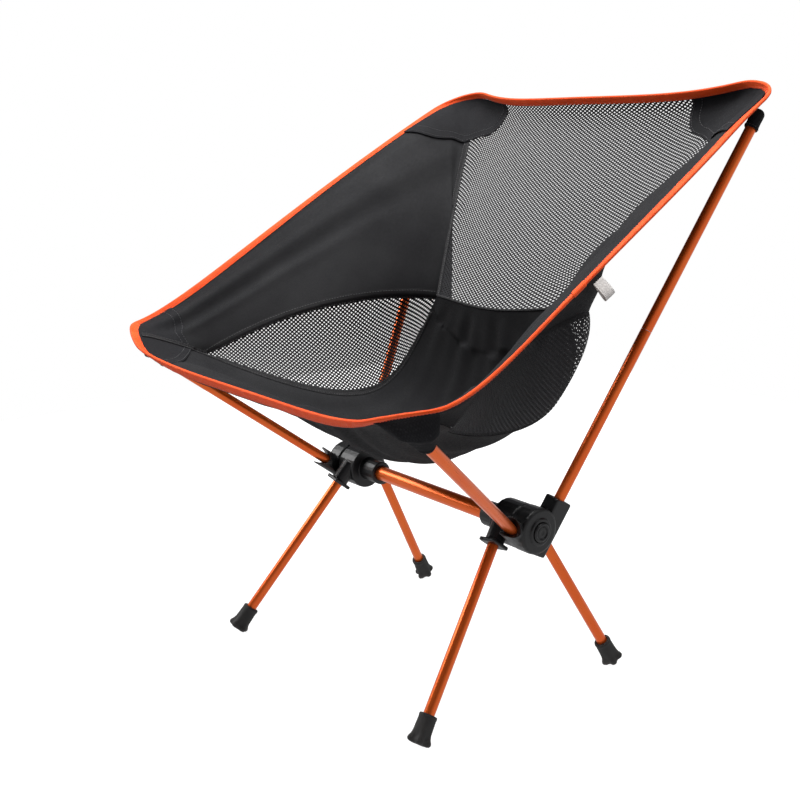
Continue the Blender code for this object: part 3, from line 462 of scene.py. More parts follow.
FLOOR_HALF = 1.4
floor_graph = Graph("studio_floor")
floor_tone = floor_graph.noise(floor_graph.place(), 3.0)
floor_paint = floor_graph.finish(
    floor_graph.mix(floor_tone, (0.24, 0.24, 0.24), (0.26, 0.26, 0.26)), 1.0,
    floor_graph.bump(floor_tone, 0.0005, 0.05), emission_color=(1.0, 1.0, 1.0, 1.0),
    emission_strength=0.97, specular_ior_level=0.0)
floor = add_piece("floor", [(FLOOR_HALF * x, FLOOR_HALF * y, 0.0) for x, y in
                            ((-1, -1), (1, -1), (1, 1), (-1, 1))], [(0, 1, 2, 3)], floor_paint)
floor.visible_diffuse = False
floor.visible_glossy = False
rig.stage(floor)


def outward(ob, weld=0.0):
    """Weld points closer than weld, and make a closed mesh's normals point outwards."""
    bm = bmesh.new()
    bm.from_mesh(ob.data)
    if weld > 0.0:
        bmesh.ops.remove_doubles(bm, verts=bm.verts, dist=weld)
    bmesh.ops.recalc_face_normals(bm, faces=bm.faces)
    bm.to_mesh(ob.data)
    bm.free()
    return ob


def sharpen(ob, degrees):
    ob.data.set_sharp_from_angle(angle=math.radians(degrees))
    return ob


def quads(nu, nv, wrap_u=False, wrap_v=False, start=0):
    """Quads of a grid of nu by nv points, numbered row by row from start."""
    out = []
    for i in range(nu if wrap_u else nu - 1):
        a = start + i * nv
        b = start + (i + 1) % nu * nv
        for j in range(nv if wrap_v else nv - 1):
            k = (j + 1) % nv
            out.append((a + j, b + j, b + k, a + k))
    return out


def capped_tube(name, grid, material, uv, angle):
    """Closed piece from a grid whose rows are rings, with a cap on its first and last ring."""
    count, around = grid.shape[:2]
    faces = quads(count, around, wrap_v=True)
    faces += [tuple(range(around)), tuple((count - 1) * around + k for k in range(around))[::-1]]
    return sharpen(outward(add_piece(name, grid.reshape(-1, 3), faces, material, uv)), angle)


def unit(vectors):
    return vectors / np.maximum(np.linalg.norm(vectors, axis=-1, keepdims=True), 1e-12)


def reach_of(points):
    """Distance walked along a line of points, or down each column of a grid, from 0."""
    steps = np.linalg.norm(np.diff(points, axis=0), axis=-1)
    return np.concatenate([np.zeros_like(steps[:1]), np.cumsum(steps, 0)])


def grid_of(a, b):
    return np.stack(np.meshgrid(a, b, indexing="ij"), -1)


def axis_frame(origin, direction, x_hint=(1.0, 0.0, 0.0)):
    z = Vector(direction).normalized()
    x = Vector(x_hint)
    if abs(z.dot(x)) > 0.95:
        x = Vector((0.0, 0.0, 1.0))
    x = (x - z * x.dot(z)).normalized()
    return Matrix.Translation(Vector(origin)) @ Matrix((x, z.cross(x), z)).transposed().to_4x4()


TURNED_GIRTH = 0.006  # radius that the cloth-like UV of turned pieces counts with
CORNER_CUT = 0.0004   # how far the corners of turned profiles are rounded


def lathe(name, profile, place, material, sides, closed=False, wave=None):
    """Turn (radius, height) points about local Z; wave(angle, height) scales the radius."""
    verts, uv = [], []
    for angle in np.arange(sides) * 2.0 * math.pi / sides:
        for radius, height in profile:
            r = radius * (wave(angle, height) if wave else 1.0)
            verts.append(place @ Vector((r * math.cos(angle), r * math.sin(angle), height)))
            uv.append((abs(angle - math.pi) * TURNED_GIRTH, height))
    faces = quads(sides, len(profile), wrap_u=True, wrap_v=closed)
    return outward(add_piece(name, verts, faces, material, uv), 1e-6)


def rounded(points, steps, closed=False):
    """Round the corners of a profile."""
    points = [np.array(p, float) for p in points]
    out = []
    count = len(points)
    for i, p in enumerate(points):
        if not closed and i in (0, count - 1):
            out.append(p)
            continue
        a, b = points[i - 1] - p, points[(i + 1) % count] - p
        la, lb = np.linalg.norm(a), np.linalg.norm(b)
        cut = min(CORNER_CUT, 0.45 * la, 0.45 * lb)
        start, end = p + a / la * cut, p + b / lb * cut
        for k in range(steps + 1):
            t = k / steps
            out.append((1 - t) ** 2 * start + 2 * t * (1 - t) * p + t * t * end)
    return out


def axis_of(node, hub=None):
    """Start, end, unit direction, outer and inner radius of a CAD tube, from its hub outwards."""
    co = np.array([v.co for v in NODES[node].data.vertices])
    middle = co.mean(0)
    direction = np.linalg.svd(co - middle, full_matrices=False)[2][0]
    t = (co - middle) @ direction
    radial = np.linalg.norm(co - middle - np.outer(t, direction), axis=1)
    start, end = (Vector(middle + direction * reach) for reach in (t.min(), t.max()))
    if hub is not None and (start - hub).length > (end - hub).length:
        start, end = end, start
    return start, end, (end - start).normalized(), float(radial.max()), float(radial.min())


def stand_in(ob, slot_name, *nodes):
    """The piece rides with its CAD node's body, and is shown instead of the node."""
    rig.ride(ob, NODES[nodes[0]]["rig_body"])
    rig.replaces(ob, *nodes)
    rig.slot(ob, slot_name)
    return ob


def on_seat(ob, slot_name):
    """The piece rides with the sling and stands for no CAD node."""
    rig.ride(ob, "seat")
    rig.slot(ob, slot_name)
    return ob


# ------------------------ tubes
def smooth_tube(node, hub=None):
    """Drawn tube with softly deburred ends in place of a CAD tube."""
    start, end, _, outer, inner = axis_of(node, hub)
    length = (end - start).length
    ring = [(outer, length), (outer, 0.0), (inner, 0.0), (inner, length)]
    ob = lathe(node + "_tube", rounded(ring, 3, closed=True),
               axis_frame(start, end - start), ANODISED, sides=40, closed=True)
    stand_in(sharpen(ob, 40), "anodised_tube", node)


smooth_tube("crossbar")
for label, hub in HUBS.items():
    for kind in ("leg_front", "leg_rear", "arm_front", "arm_rear_lower", "arm_rear_upper"):
        smooth_tube(f"{kind}_{label}", hub)


# ------------------------ rubber feet
FOOT_LENGTH, FOOT_BORE = 0.0300, 0.0062
FOOT_BELOW_LEG = 0.0104
FOOT_LINE = [(0.0, 0.0016), (0.0042, 0.0012), (0.0064, 0.0), (0.0082, 0.0), (0.0101, 0.0007),
             (0.0110, 0.0022), (0.0112, 0.0034), (0.0108, 0.0050), (0.0102, 0.0062),
             (0.0098, 0.0078), (0.0096, 0.0120), (0.0094, 0.0180), (0.0092, 0.0240),
             (0.0092, 0.0262), (0.0095, 0.0268), (0.0095, 0.0284), (0.0091, 0.0297),
             (0.0084, FOOT_LENGTH), (0.0066, FOOT_LENGTH), (FOOT_BORE, FOOT_LENGTH - 0.0006),
             (FOOT_BORE, 0.0100), (0.0, 0.0100)]
LOBE_HEIGHTS = (0.0, 0.0004, 0.0062, 0.0110, 0.0111, 0.0260, 0.0261)
LOBE_DEPTHS = (0.13, 0.16, 0.16, 0.025, 0.020, 0.020, 0.0)


def lobes(angle, height):
    """Five lobes round the sole, which fade to shallow ribs further up the foot."""
    wavy = math.cos(5.0 * angle)
    depth = np.interp(height, LOBE_HEIGHTS, LOBE_DEPTHS)
    return 1.0 + depth * math.copysign(abs(wavy) ** 0.75, wavy)


def foot(label, place):
    _, end, down, _, _ = axis_of(f"leg_{place}_{label}", HUBS[label])
    ob = lathe(f"foot_{place}_{label}_rubber", FOOT_LINE,
               axis_frame(end + down * FOOT_BELOW_LEG, -down, (0.0, 0.0, -1.0)), RUBBER,
               sides=80, wave=lobes)
    for v in ob.data.vertices:
        v.co.z = max(v.co.z, 0.0)
    stand_in(sharpen(ob, 50), "foot_rubber", f"foot_{place}_{label}")


for label, _ in SIDES:
    for place in ("front", "rear"):
        foot(label, place)


# ------------------------ hubs, pins, caps
def modify(ob, kind, **settings):
    modifier = ob.modifiers.new(kind.lower(), kind)
    for name, value in settings.items():
        setattr(modifier, name, value)


def moulded(node):
    """Copy of a CAD hub with moulded fillets: remeshed finely, then relaxed and thinned."""
    mesh = NODES[node].data.copy()
    mesh.materials.clear()
    mesh.materials.append(PLASTIC)
    ob = outward(bpy.data.objects.new(node + "_moulding", mesh), 1e-6)
    scene.collection.objects.link(ob)
    modify(ob, "REMESH", mode="VOXEL", voxel_size=0.00045, use_smooth_shade=True)
    modify(ob, "SMOOTH", factor=0.5, iterations=5)
    modify(ob, "DECIMATE", ratio=0.30)
    ready = bpy.data.meshes.new_from_object(
        ob.evaluated_get(bpy.context.evaluated_depsgraph_get()))
    ob.modifiers.clear()
    ob.data = ready
    ready.shade_smooth()
    stand_in(ob, "hub_plastic", node)


def pivot_cap(node, side):
    """Round button with a raised ring and a sunk middle; steps are below its top."""
    lo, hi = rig.box(node)
    tall = hi.x - lo.x
    steps = [(0.0, 0.0012), (0.0020, 0.0012), (0.0026, 0.0008), (0.0056, 0.0008),
             (0.0062, 0.0014), (0.0070, 0.0014), (0.0076, 0.0002), (0.0092, 0.0002),
             ((hi.z - lo.z) / 2.0, 0.0012), ((hi.z - lo.z) / 2.0, tall), (0.0, tall)]
    base = (lo.x if side > 0 else hi.x, CENTRE.y, CENTRE.z)
    ob = lathe(node + "_button", rounded([(r, tall - fall) for r, fall in steps], 2),
               axis_frame(base, (side, 0.0, 0.0)), PLASTIC, sides=56)
    stand_in(sharpen(ob, 45), "hub_plastic", node)


for label, side in SIDES:
    moulded("leg_hub_" + label)
    moulded("arm_hub_" + label)
    pivot_cap("pivot_cap_" + label, side)

# ------------------------ sling curves
# The edges are Bezier curves between corner points, cut back from them and joined by arcs.
CUT_FRONT = (0.033, 0.0615)  # cut back from a front corner, along the side and front edges
CUT_REAR = (0.063, 0.051)    # and from a rear corner, along the side and top edges
CORNER_F = (0.2698, -0.2568, 0.3731)
CORNER_B = (0.2487, 0.2740, 0.6598)
SIDE_EDGE = [(0.3113, -0.1847, 0.3608), (0.2546, -0.1228, 0.4351), (0.3037, 0.0636, 0.5301)]
FRONT_EDGE = [(0.1436, -0.2451, 0.3180), (0.0, -0.2146, 0.3589)]
TOP_EDGE = [(0.1174, 0.2276, 0.6090), (0.0, 0.2125, 0.6618)]
BACK_SEAM = [(0.2350, 0.2661, 0.6048), (0.1766, 0.1900, 0.5505)]
BACK_LOW = (0.0938, 0.0843, 0.3979)
LOW_SEAM = [(0.0435, 0.0808, 0.3961), (0.0, 0.0747, 0.3867)]
LEAF_TIP = (0.2264, -0.1632, 0.3364)
LEAF_UPPER = [(0.0906, 0.1839, 0.3719), (0.1562, 0.0209, 0.4473)]
LEAF_LOWER = [(0.1988, 0.0896, 0.2388), (0.0370, -0.0507, 0.2769)]
# where an arm tip lifts the cloth, which way, how far, and over what radius
PRESS = [((0.2450, -0.2150, 0.3520), (-0.20, 0.28, 0.94), 0.0025, 0.070),
         ((0.2396, 0.2342, 0.6130), (-0.875, -0.398, 0.275), 0.0150, 0.072)]
SIDE_IN = np.array((-0.80, -0.15, 0.58))  # way the side panel leans behind its edge
MOVED = np.array((0.0, -0.0072, 0.0))     # the CAD part's last step moves everything by this
FULL_PLACE = np.array((0.148, 0.070, 0.405))    # middles of the two places on the right side
FULL_CORNER = np.array((0.256, 0.235, 0.628))   # where the sling is fuller than on the left
MIRROR = np.array((-1.0, 1.0, 1.0))
LEAF_OUT = unit(np.array((0.85, 0.25, -0.45)))  # way the side mesh bows


def along(points, reach, want):
    """Points at the wanted distances along a line whose points lie at the given reach."""
    return np.stack([np.interp(want, reach, column) for column in points.T], -1)


class Line:
    """Smooth line read by its share of the arc length."""

    def __init__(self, points):
        self.points = np.asarray(points, float)
        self.reach = reach_of(self.points)
        self.length = float(self.reach[-1])

    def at(self, share):
        return along(self.points, self.reach, np.clip(share, 0.0, 1.0) * self.length)

    def back(self):
        return Line(self.points[::-1])

    def flip(self):
        return Line(self.points * MIRROR)

    def soft(self, span=0.016, count=480):
        """Even out the kinks of the control polyline, leaving its two ends where they are."""
        share = np.linspace(0.0, 1.0, count + 1)
        reach = np.minimum(np.minimum(share, 1.0 - share), 0.5 * span / self.length)
        shifted = [self.at(share + 2.0 * shift * reach) for shift in np.linspace(-0.5, 0.5, 9)]
        return Line(sum(shifted) / 9.0)


def bezier(control, count=48):
    t = np.linspace(0.0, 1.0, count + 1)[:, None]
    level = [np.asarray(c, float) * np.ones_like(t) for c in control]
    while len(level) > 1:
        level = [a * (1 - t) + b * t for a, b in zip(level, level[1:])]
    return level[0]


def symmetric(points):
    """Control points from the right to the middle, carried on to the left."""
    return points + [np.array(p) * MIRROR for p in points[-2::-1]]


def trim_ends(points, start_cut, end_cut):
    line = Line(points)
    return line.at(np.linspace(start_cut / line.length, 1.0 - end_cut / line.length, 61))


def crossing(corner, edge, cut):
    """Edge that crosses the chair, cut back from both corners."""
    return trim_ends(bezier(symmetric([corner] + edge)), cut, cut)


def whole_edge(arc, crossing_points):
    """Half a corner's arc and the edge beyond it, carried on to the other side."""
    half = np.vstack([arc, crossing_points[1:31]])
    return Line(np.vstack([half, half[-2::-1] * MIRROR])).soft()


def corner_arc(start, corner, end, handle):
    corner = np.asarray(corner, float)
    return bezier([start, start + (corner - start) * handle, end + (corner - end) * handle, end],
                  12)


side_raw = trim_ends(bezier([CORNER_F] + SIDE_EDGE + [CORNER_B]), CUT_FRONT[0], CUT_REAR[0])
front_raw = crossing(CORNER_F, FRONT_EDGE, CUT_FRONT[1])
top_raw = crossing(CORNER_B, TOP_EDGE, CUT_REAR[1])
arc_f = corner_arc(front_raw[0], CORNER_F, side_raw[0], 0.30)
arc_b = corner_arc(side_raw[-1], CORNER_B, top_raw[0], 0.39)

side_edge = Line(np.vstack([arc_f[6:], side_raw[1:-1], arc_b[:7]])).soft()
front_edge = whole_edge(arc_f[:7][::-1], front_raw)
top_edge = whole_edge(arc_b[6:], top_raw)
back_seam = Line(np.vstack([arc_b[6:7], bezier([CORNER_B] + BACK_SEAM + [BACK_LOW])[9:]])).soft()
low_seam = Line(bezier(symmetric([BACK_LOW] + LOW_SEAM)))
leaf_upper = Line(bezier([BACK_LOW] + LEAF_UPPER + [LEAF_TIP])).soft()
leaf_lower = Line(bezier([BACK_LOW] + LEAF_LOWER + [LEAF_TIP])).soft()
tip_seam = Line([LEAF_TIP, arc_f[6]])
bottom_side = Line(np.vstack([leaf_lower.points, arc_f[6:7]])).soft(0.03)


# ------------------------ sling surfaces
def coons(low, high, left, right):
    """Surface over (u, v) in the unit square that meets its four border lines."""
    p00, p10, p01, p11 = low.at(0.0), low.at(1.0), high.at(0.0), high.at(1.0)

    def point(u, v):
        u1, v1 = u[..., None], v[..., None]
        ruled_v = low.at(u) * (1 - v1) + high.at(u) * v1
        ruled_u = left.at(v) * (1 - u1) + right.at(v) * u1
        corner = (p00 * (1 - u1) + p10 * u1) * (1 - v1) + (p01 * (1 - u1) + p11 * u1) * v1
        return ruled_v + ruled_u - corner
    return point


side_frame = coons(side_edge, leaf_upper.back(), tip_seam.back(), back_seam)
back_frame = coons(top_edge, low_seam, back_seam, back_seam.flip())
bottom_frame = coons(low_seam, front_edge, bottom_side, bottom_side.flip())


def ease(t):
    t = np.clip(t, 0.0, 1.0)
    return t * t * (3.0 - 2.0 * t)


def fade(t, rise, fall):
    """0 at both ends of 0 to 1, and 1 beyond rise from the start and fall from the end."""
    return ease(t / rise) * ease((1.0 - t) / fall)


def pressed(point, edge_distance):
    """Lift the cloth over the arm tips, leaving the outer edge where it is."""
    side = np.where(point[..., :1] < 0.0, -1.0, 1.0)
    flip = np.concatenate([side, np.ones_like(side), np.ones_like(side)], -1)
    out = point.copy()
    for centre, direction, height, radius in PRESS:
        c = np.array(centre) * flip
        d = unit(np.array(direction)) * flip
        far = np.linalg.norm(point - c, axis=-1) / radius
        out += d * (height * np.exp(-far * far) * ease(edge_distance / 0.022))[..., None]
    return out


def side_surface(u, v):
    depth = v * (tip_seam.length * (1.0 - u) + back_seam.length * u)
    lean = 0.019 * fade(u, 0.55, 0.22) * np.clip(1.0 - v, 0.0, 1.0) ** 0.8
    lean *= 1.0 - np.exp(-depth / 0.014)
    lean += 0.014 * ease((u - 0.42) / 0.3) * ease((1.0 - u) / 0.09) * np.sin(math.pi * v) ** 0.7
    return pressed(side_frame(u, v) + SIDE_IN * lean[..., None], depth) + MOVED


def back_surface(u, v):
    return pressed(back_frame(u, v), v * back_seam.length) + MOVED


def front_surface(u, v):
    """Seat bottom, with v measured from the front edge."""
    v = 1.0 - v
    point = bottom_frame(u, v)
    across = np.sin(np.pi * np.clip(u, 0.0, 1.0)) ** 1.2
    lengthwise = np.sin(np.pi * np.clip(v * 1.12, 0.0, 1.0)) ** 1.3
    depth = (1.0 - v) * bottom_side.length
    rolled = depth / 0.012 * np.exp(1.0 - depth / 0.012) * fade(u, 0.25, 0.25)
    point[..., 2] -= 0.040 * across * lengthwise + 0.009 * rolled
    return pressed(point, depth) + MOVED


def leaf_surface(u, v):
    """Side mesh between its upper and lower seams, u from the front tip to the back."""
    a, b = leaf_upper.at(1.0 - u), leaf_lower.at(1.0 - u)
    bow = 4.0 * v * (1.0 - v) * np.sin(np.pi * np.clip(u, 0.0, 1.0))
    v1 = v[..., None]
    return a * (1 - v1) + b * v1 + LEAF_OUT * (0.012 * bow)[..., None] + MOVED


def bump_along(t, centre, width):
    return np.exp(-((t - centre) / width) ** 2)


def side_folds(u, v):
    """Soft folds that run along the side panel from its front tip to the back seam."""
    inside = fade(u, 0.10, 0.12) * fade(v, 0.10, 0.10)
    line = 0.245 + 0.045 * u
    first = 0.0024 * bump_along(v, line, 0.075) - 0.0026 * bump_along(v, line + 0.150, 0.085)
    second = 0.0018 * bump_along(v, 0.560 - 0.10 * u, 0.07)
    slack = 0.0007 * np.sin(26.0 * u + 9.0 * v) * np.sin(math.pi * v)
    return inside * (first + second * ease((0.9 - u) / 0.3) + slack)


def bottom_folds(u, v):
    """Slack streaks that run from the front edge of the seat bottom to its rear seam."""
    inside = fade(v, 0.08, 0.06) * np.sin(math.pi * np.clip(u, 0.0, 1.0)) ** 0.6
    wander = u + 0.025 * np.sin(5.0 * v)
    total = 0.0015 * np.sin(2 * math.pi * (wander * 5.0 + 0.15))
    total += 0.0009 * np.sin(2 * math.pi * (wander * 9.0 + 0.40 + 0.3 * v))
    total += 0.0012 * bump_along(v, 0.10, 0.05) * np.sin(2 * math.pi * (u * 7.0 + 0.2))
    return inside * total


def mesh_folds(u, v):
    inside = fade(v, 0.08, 0.08) * np.sin(math.pi * np.clip(u, 0.0, 1.0))
    return inside * 0.0010 * np.sin(17.0 * u + 2.0) * np.sin(3.5 * v + 0.4)


def fuller(p):
    """The right side of the sling hangs fuller than the left, where it joins the back."""
    far = np.linalg.norm(p - FULL_PLACE, axis=-1) / 0.075
    swell = 0.030 * np.exp(-far * far) * ease((0.475 - p[..., 2]) / 0.060)
    far = np.linalg.norm(p - FULL_CORNER, axis=-1) / 0.045
    spread = 0.008 * np.exp(-far * far)
    return (p + np.array((0.62, 0.72, 0.31)) * swell[..., None]
            + np.array((0.60, 0.60, 0.25)) * spread[..., None])


def laid(surface, folds, hint, u, v, side=1.0):
    """Points and unit normals of a surface; the normal is on the hint's side."""
    u, v = np.asarray(u, float), np.asarray(v, float)
    step = 0.002
    du = surface(np.minimum(u + step, 1.0), v) - surface(np.maximum(u - step, 0.0), v)
    dv = surface(u, np.minimum(v + step, 1.0)) - surface(u, np.maximum(v - step, 0.0))
    n = unit(np.cross(du, dv))
    n *= np.where((n @ np.array(hint))[..., None] < 0.0, -1.0, 1.0)
    p = surface(u, v) + n * folds(u, v)[..., None]
    flip = np.array((side, 1.0, 1.0))
    return fuller(p * flip), n * flip


SIDE = (side_surface, side_folds, (-0.85, -0.25, 0.45))
BACK = (back_surface, mesh_folds, (0.0, -0.9, 0.35))
BASE = (front_surface, bottom_folds, (0.0, 0.1, 1.0))
LEAF = (leaf_surface, lambda u, v: 0.0 * u, (-0.85, -0.25, 0.45))


def depth_shares(panel, u, depths):
    """For each u, the share v at which the panel lies each depth inside its v = 0 edge."""
    v = np.linspace(0.0, 1.0, 301)
    uu, vv = np.meshgrid(u, v, indexing="ij")
    walked = reach_of(panel[0](uu, vv).swapaxes(0, 1)).T
    return np.stack([np.interp(depths, row, v) for row in walked])


def thick_sheet(name, p, n, thickness, material, uv):
    """Closed sheet of the given thickness about a grid of points with normals."""
    nu, nv = p.shape[:2]
    verts = np.vstack([(p + n * half).reshape(-1, 3) for half in (thickness / 2, -thickness / 2)])
    faces = quads(nu, nv) + [f[::-1] for f in quads(nu, nv, start=nu * nv)]
    index = np.arange(nu * nv).reshape(nu, nv)
    rim = [*index[:, 0], *index[-1, 1:], *index[-2::-1, -1], *index[0, -2:0:-1]]
    for a, b in zip(rim, rim[1:] + rim[:1]):
        faces.append((a, b, b + nu * nv, a + nu * nv))
    ob = add_piece(name, verts, faces, material, np.vstack([uv.reshape(-1, 2)] * 2))
    return sharpen(outward(ob), 50)


def flat_uv(p):
    """Metres along and across a grid of points, averaged over its rows and columns."""
    return grid_of(reach_of(p).mean(1), reach_of(p.swapaxes(0, 1)).mean(1))


CLOTH_T = 0.0008
EDGE_IN = 0.0010   # how far inside its outer edge a panel's cloth starts
SEAM_IN = 0.0003   # how far a net stays inside its side seams
SEAM_END = 0.9988  # share of a panel's depth that its cloth or net reaches
END_GAP = 0.0014   # share of a panel's length left free at both of its ends


def cloth_panel(name, panel, side, nu, nv, node):
    """Woven panel: v from just inside the edge tape's fold to just short of the seam."""
    u = np.linspace(END_GAP, 1.0 - END_GAP, nu)
    start = depth_shares(panel, u, [EDGE_IN])
    v = start + (SEAM_END - start) * np.linspace(0.0, 1.0, nv)
    p, n = laid(*panel, np.repeat(u[:, None], nv, 1), v, side)
    ob = thick_sheet(name, p, n, CLOTH_T, CLOTH, flat_uv(p))
    return stand_in(ob, "oxford_cloth", node)


side_cloths = {label: cloth_panel("side_cloth_" + label, SIDE, side, 190, 90,
                                  "side_panel_" + label) for label, side in SIDES}
seat_cloth = cloth_panel("seat_bottom_cloth", BASE, 1.0, 170, 130, "seat_bottom_panel")


# ------------------------ open mesh panels
BACK_CELL = (0.0034, 0.0023)  # half the width and half the height of a mesh cell
LEAF_CELL = (0.0024, 0.0029)
HOLE_SHARE = 0.46             # hole width over cell width


def row_lengths(surface, along_u, shares, samples=80):
    """Widths of a surface, along u or along v, at shares of the other."""
    s, t = np.meshgrid(shares, np.linspace(0.0, 1.0, samples), indexing="ij")
    p = surface(t, s) if along_u else surface(s, t)
    return np.linalg.norm(np.diff(p, axis=1), axis=2).sum(1).reshape(shares.shape)


def net(name, panel, side, node, cell, tall, across_u):
    """Net of diamond cells with a hole in each, cut to the panel's outline.

    across_u says whether the rows of cells run along u or along v.
    """
    wide, high = cell
    rows = int(tall / high)
    index, verts, faces = {}, [], []

    def corner(key):
        if key not in index:
            index[key] = len(verts)
            verts.append((key[0] * wide, key[1] * high))
        return index[key]

    shares = np.linspace(0.0, 1.0, rows + 1)
    half = row_lengths(panel[0], across_u, shares) / 2.0
    for b in range(1, rows):
        reach = int(half[b] / wide) + 1
        for a in range(-reach, reach + 1):
            if (a + b) % 2:
                continue
            ring = [(a + 1, b), (a, b + 1), (a - 1, b), (a, b - 1)]
            outer = [corner(key) for key in ring]
            centre = np.array((a * wide, b * high))
            inner = range(len(verts), len(verts) + 4)
            verts += [tuple(centre + HOLE_SHARE * (np.array(key) * cell - centre)) for key in ring]
            for k in range(4):
                m = (k + 1) % 4
                faces.append((outer[k], outer[m], inner[m], inner[k]))
    flat, faces = np.array(verts), np.array(faces)
    share = np.clip(flat[:, 1] / (rows * high), 0.0, 1.0)
    half_here = np.maximum(np.interp(share, shares, half), 1e-5)
    limit = np.maximum(half_here - SEAM_IN, 1e-5)
    cross = np.clip(0.5 + np.clip(flat[:, 0], -limit, limit) / (2.0 * half_here), 0.0, 1.0)
    faces = faces[np.abs(flat[faces][..., 0]).min(1) < limit[faces].max(1)]
    if across_u:
        low = depth_shares(panel, np.array([0.5]), [EDGE_IN])[0, 0]
        uv = cross, low + (SEAM_END - low) * share
    else:
        uv = share, cross
    points, _ = laid(*panel, *uv, side)
    keep = np.unique(faces)
    renumber = np.full(len(points), -1)
    renumber[keep] = np.arange(len(keep))
    ob = add_piece(name, points[keep], renumber[faces], MESH, flat[keep])
    return stand_in(ob, "mesh_cloth", node)


BACK_TALL, LEAF_TALL = 0.345, 0.372
back_net = net("back_net", BACK, 1.0, "back_mesh_panel", BACK_CELL, BACK_TALL, True)
leaf_nets = {label: net("side_net_" + label, LEAF, side, "side_mesh_" + label, LEAF_CELL,
                        LEAF_TALL, False) for label, side in SIDES}


# ------------------------ stitches
STITCH_PITCH, STITCH_LENGTH, STITCH_RADIUS = 0.0034, 0.0024, 0.00024


def stitch_row(p, n, lift):
    """Small arched thread loops along a line of points, with the cloth's normals."""
    reach = reach_of(p)
    verts, faces = [], []
    count = int(reach[-1] / STITCH_PITCH)
    for k in range(count):
        base = len(verts)
        for t in (-0.5, -0.28, 0.0, 0.28, 0.5):
            s = (k + 0.5) * reach[-1] / count + t * STITCH_LENGTH
            at = along(p, reach, s)
            ahead = unit(along(p, reach, s + 1e-4) - at)
            up = unit(along(n, reach, s))
            out = np.cross(ahead, up)
            high = lift + STITCH_RADIUS * (0.9 - 3.4 * t * t)
            r = STITCH_RADIUS * (1.0 if abs(t) < 0.4 else 0.35)
            for angle in np.arange(5) * 2.0 * math.pi / 5:
                verts.append(at + up * (high + r * math.sin(angle)) + out * (r * math.cos(angle)))
        faces += [tuple(range(base, base + 5)), tuple(range(base + 24, base + 19, -1))]
        faces += [face[::-1] for face in quads(5, 5, wrap_v=True, start=base)]
    return verts, faces


def stitching(name, rows, material, slot_name):
    """One piece of thread made of several rows; each row is (points, normals, lift)."""
    verts, faces = [], []
    for row in rows:
        more, shapes = stitch_row(*row)
        faces += [tuple(i + len(verts) for i in f) for f in shapes]
        verts += more
    return on_seat(outward(add_piece(name, verts, faces, material)), slot_name)


trims = []


def sewn(ob, rows, thread=BLACK_THREAD, slot_name="oxford_cloth"):
    """Note a trim of the sling, and sew it on with rows of stitches."""
    trims.extend([ob, stitching(ob.name + "_stitches", rows, thread, slot_name)])


# ------------------------ seam bands
BAND_T = 0.0006
BAND_LIFT = CLOTH_T / 2 + BAND_T / 2 + 0.0001
TO_SEAM = np.linspace(1.0, 0.08, 4)[None, :]    # shares of a band's width, up to the seam
FROM_SEAM = np.linspace(0.08, 1.0, 4)[None, :]  # and away from it


def seam_band(name, grid, extra=0.0):
    """Flat binding sewn over a seam on the sitter's side, with a stitch row near each rim.

    extra lifts it further off the cloth, row by row.
    """
    p, n = grid
    crown = np.sin(np.linspace(0.0, math.pi, p.shape[1]))[None, :, None] * 0.0003
    lifted = p + n * (BAND_LIFT + crown + np.reshape(extra, (-1, 1, 1)))
    ob = on_seat(thick_sheet(name, lifted, n, BAND_T, BAND_CLOTH, flat_uv(p)), "oxford_cloth")
    rows = [(lifted[:, k], n[:, k], BAND_T / 2) for k in (1, p.shape[1] - 2)]
    sewn(ob, rows)


def joined(a, b, side=1.0):
    """Grids on two panels, each (panel, u, v), as one that runs up to their seam and away."""
    grids = [laid(*panel, *np.broadcast_arrays(u, v), side) for panel, u, v in (a, b)]
    p, n = (np.concatenate(pair, 1) for pair in zip(*grids))
    for _ in range(2):
        n[:, 1:-1] = (n[:, :-2] + n[:, 1:-1] + n[:, 2:]) / 3.0
    return p, unit(n)


def back_band(side):
    v = np.linspace(0.040, 0.998, 130)[:, None]
    spread = 0.0045 + 0.0022 * v
    return joined((SIDE, 1.0 - TO_SEAM * spread / row_lengths(side_surface, True, v), v),
                  (BACK, FROM_SEAM * spread / row_lengths(back_surface, True, v), v), side)


def low_band():
    u = np.linspace(0.004, 0.996, 90)[:, None]
    return joined((BACK, u, 1.0 - 0.0040 * TO_SEAM / back_seam.length),
                  (BASE, u, 1.0 - 0.0055 * FROM_SEAM / bottom_side.length))


def tip_band(side):
    """Seam between the side panel and the seat bottom, from the front corner to the leaf."""
    low = TIP_ROWS * tip_seam.length / bottom_side.length
    v = np.minimum(TIP_ROWS, 0.999)
    return joined((SIDE, TO_SEAM * 0.0050 / row_lengths(side_surface, True, v), v),
                  (BASE, FROM_SEAM * 0.0050 / row_lengths(front_surface, True, low), low), side)


def leaf_band(side, upper):
    u = LEAF_ROWS
    width = row_lengths(leaf_surface, False, u)
    reach = np.minimum(0.0045 * np.minimum(1.0, width / 0.022) / width, 0.3)
    if upper:
        return joined((SIDE, u, 1.0 - TO_SEAM * 0.0060 / row_lengths(side_surface, False, u)),
                      (LEAF, u, FROM_SEAM * reach), side)
    v = 1.0 - (1.0 - u) * leaf_lower.length / bottom_side.length
    return joined((LEAF, u, 1.0 - TO_SEAM * reach),
                  (BASE, FROM_SEAM * 0.0060 / row_lengths(front_surface, True, v), v), side)


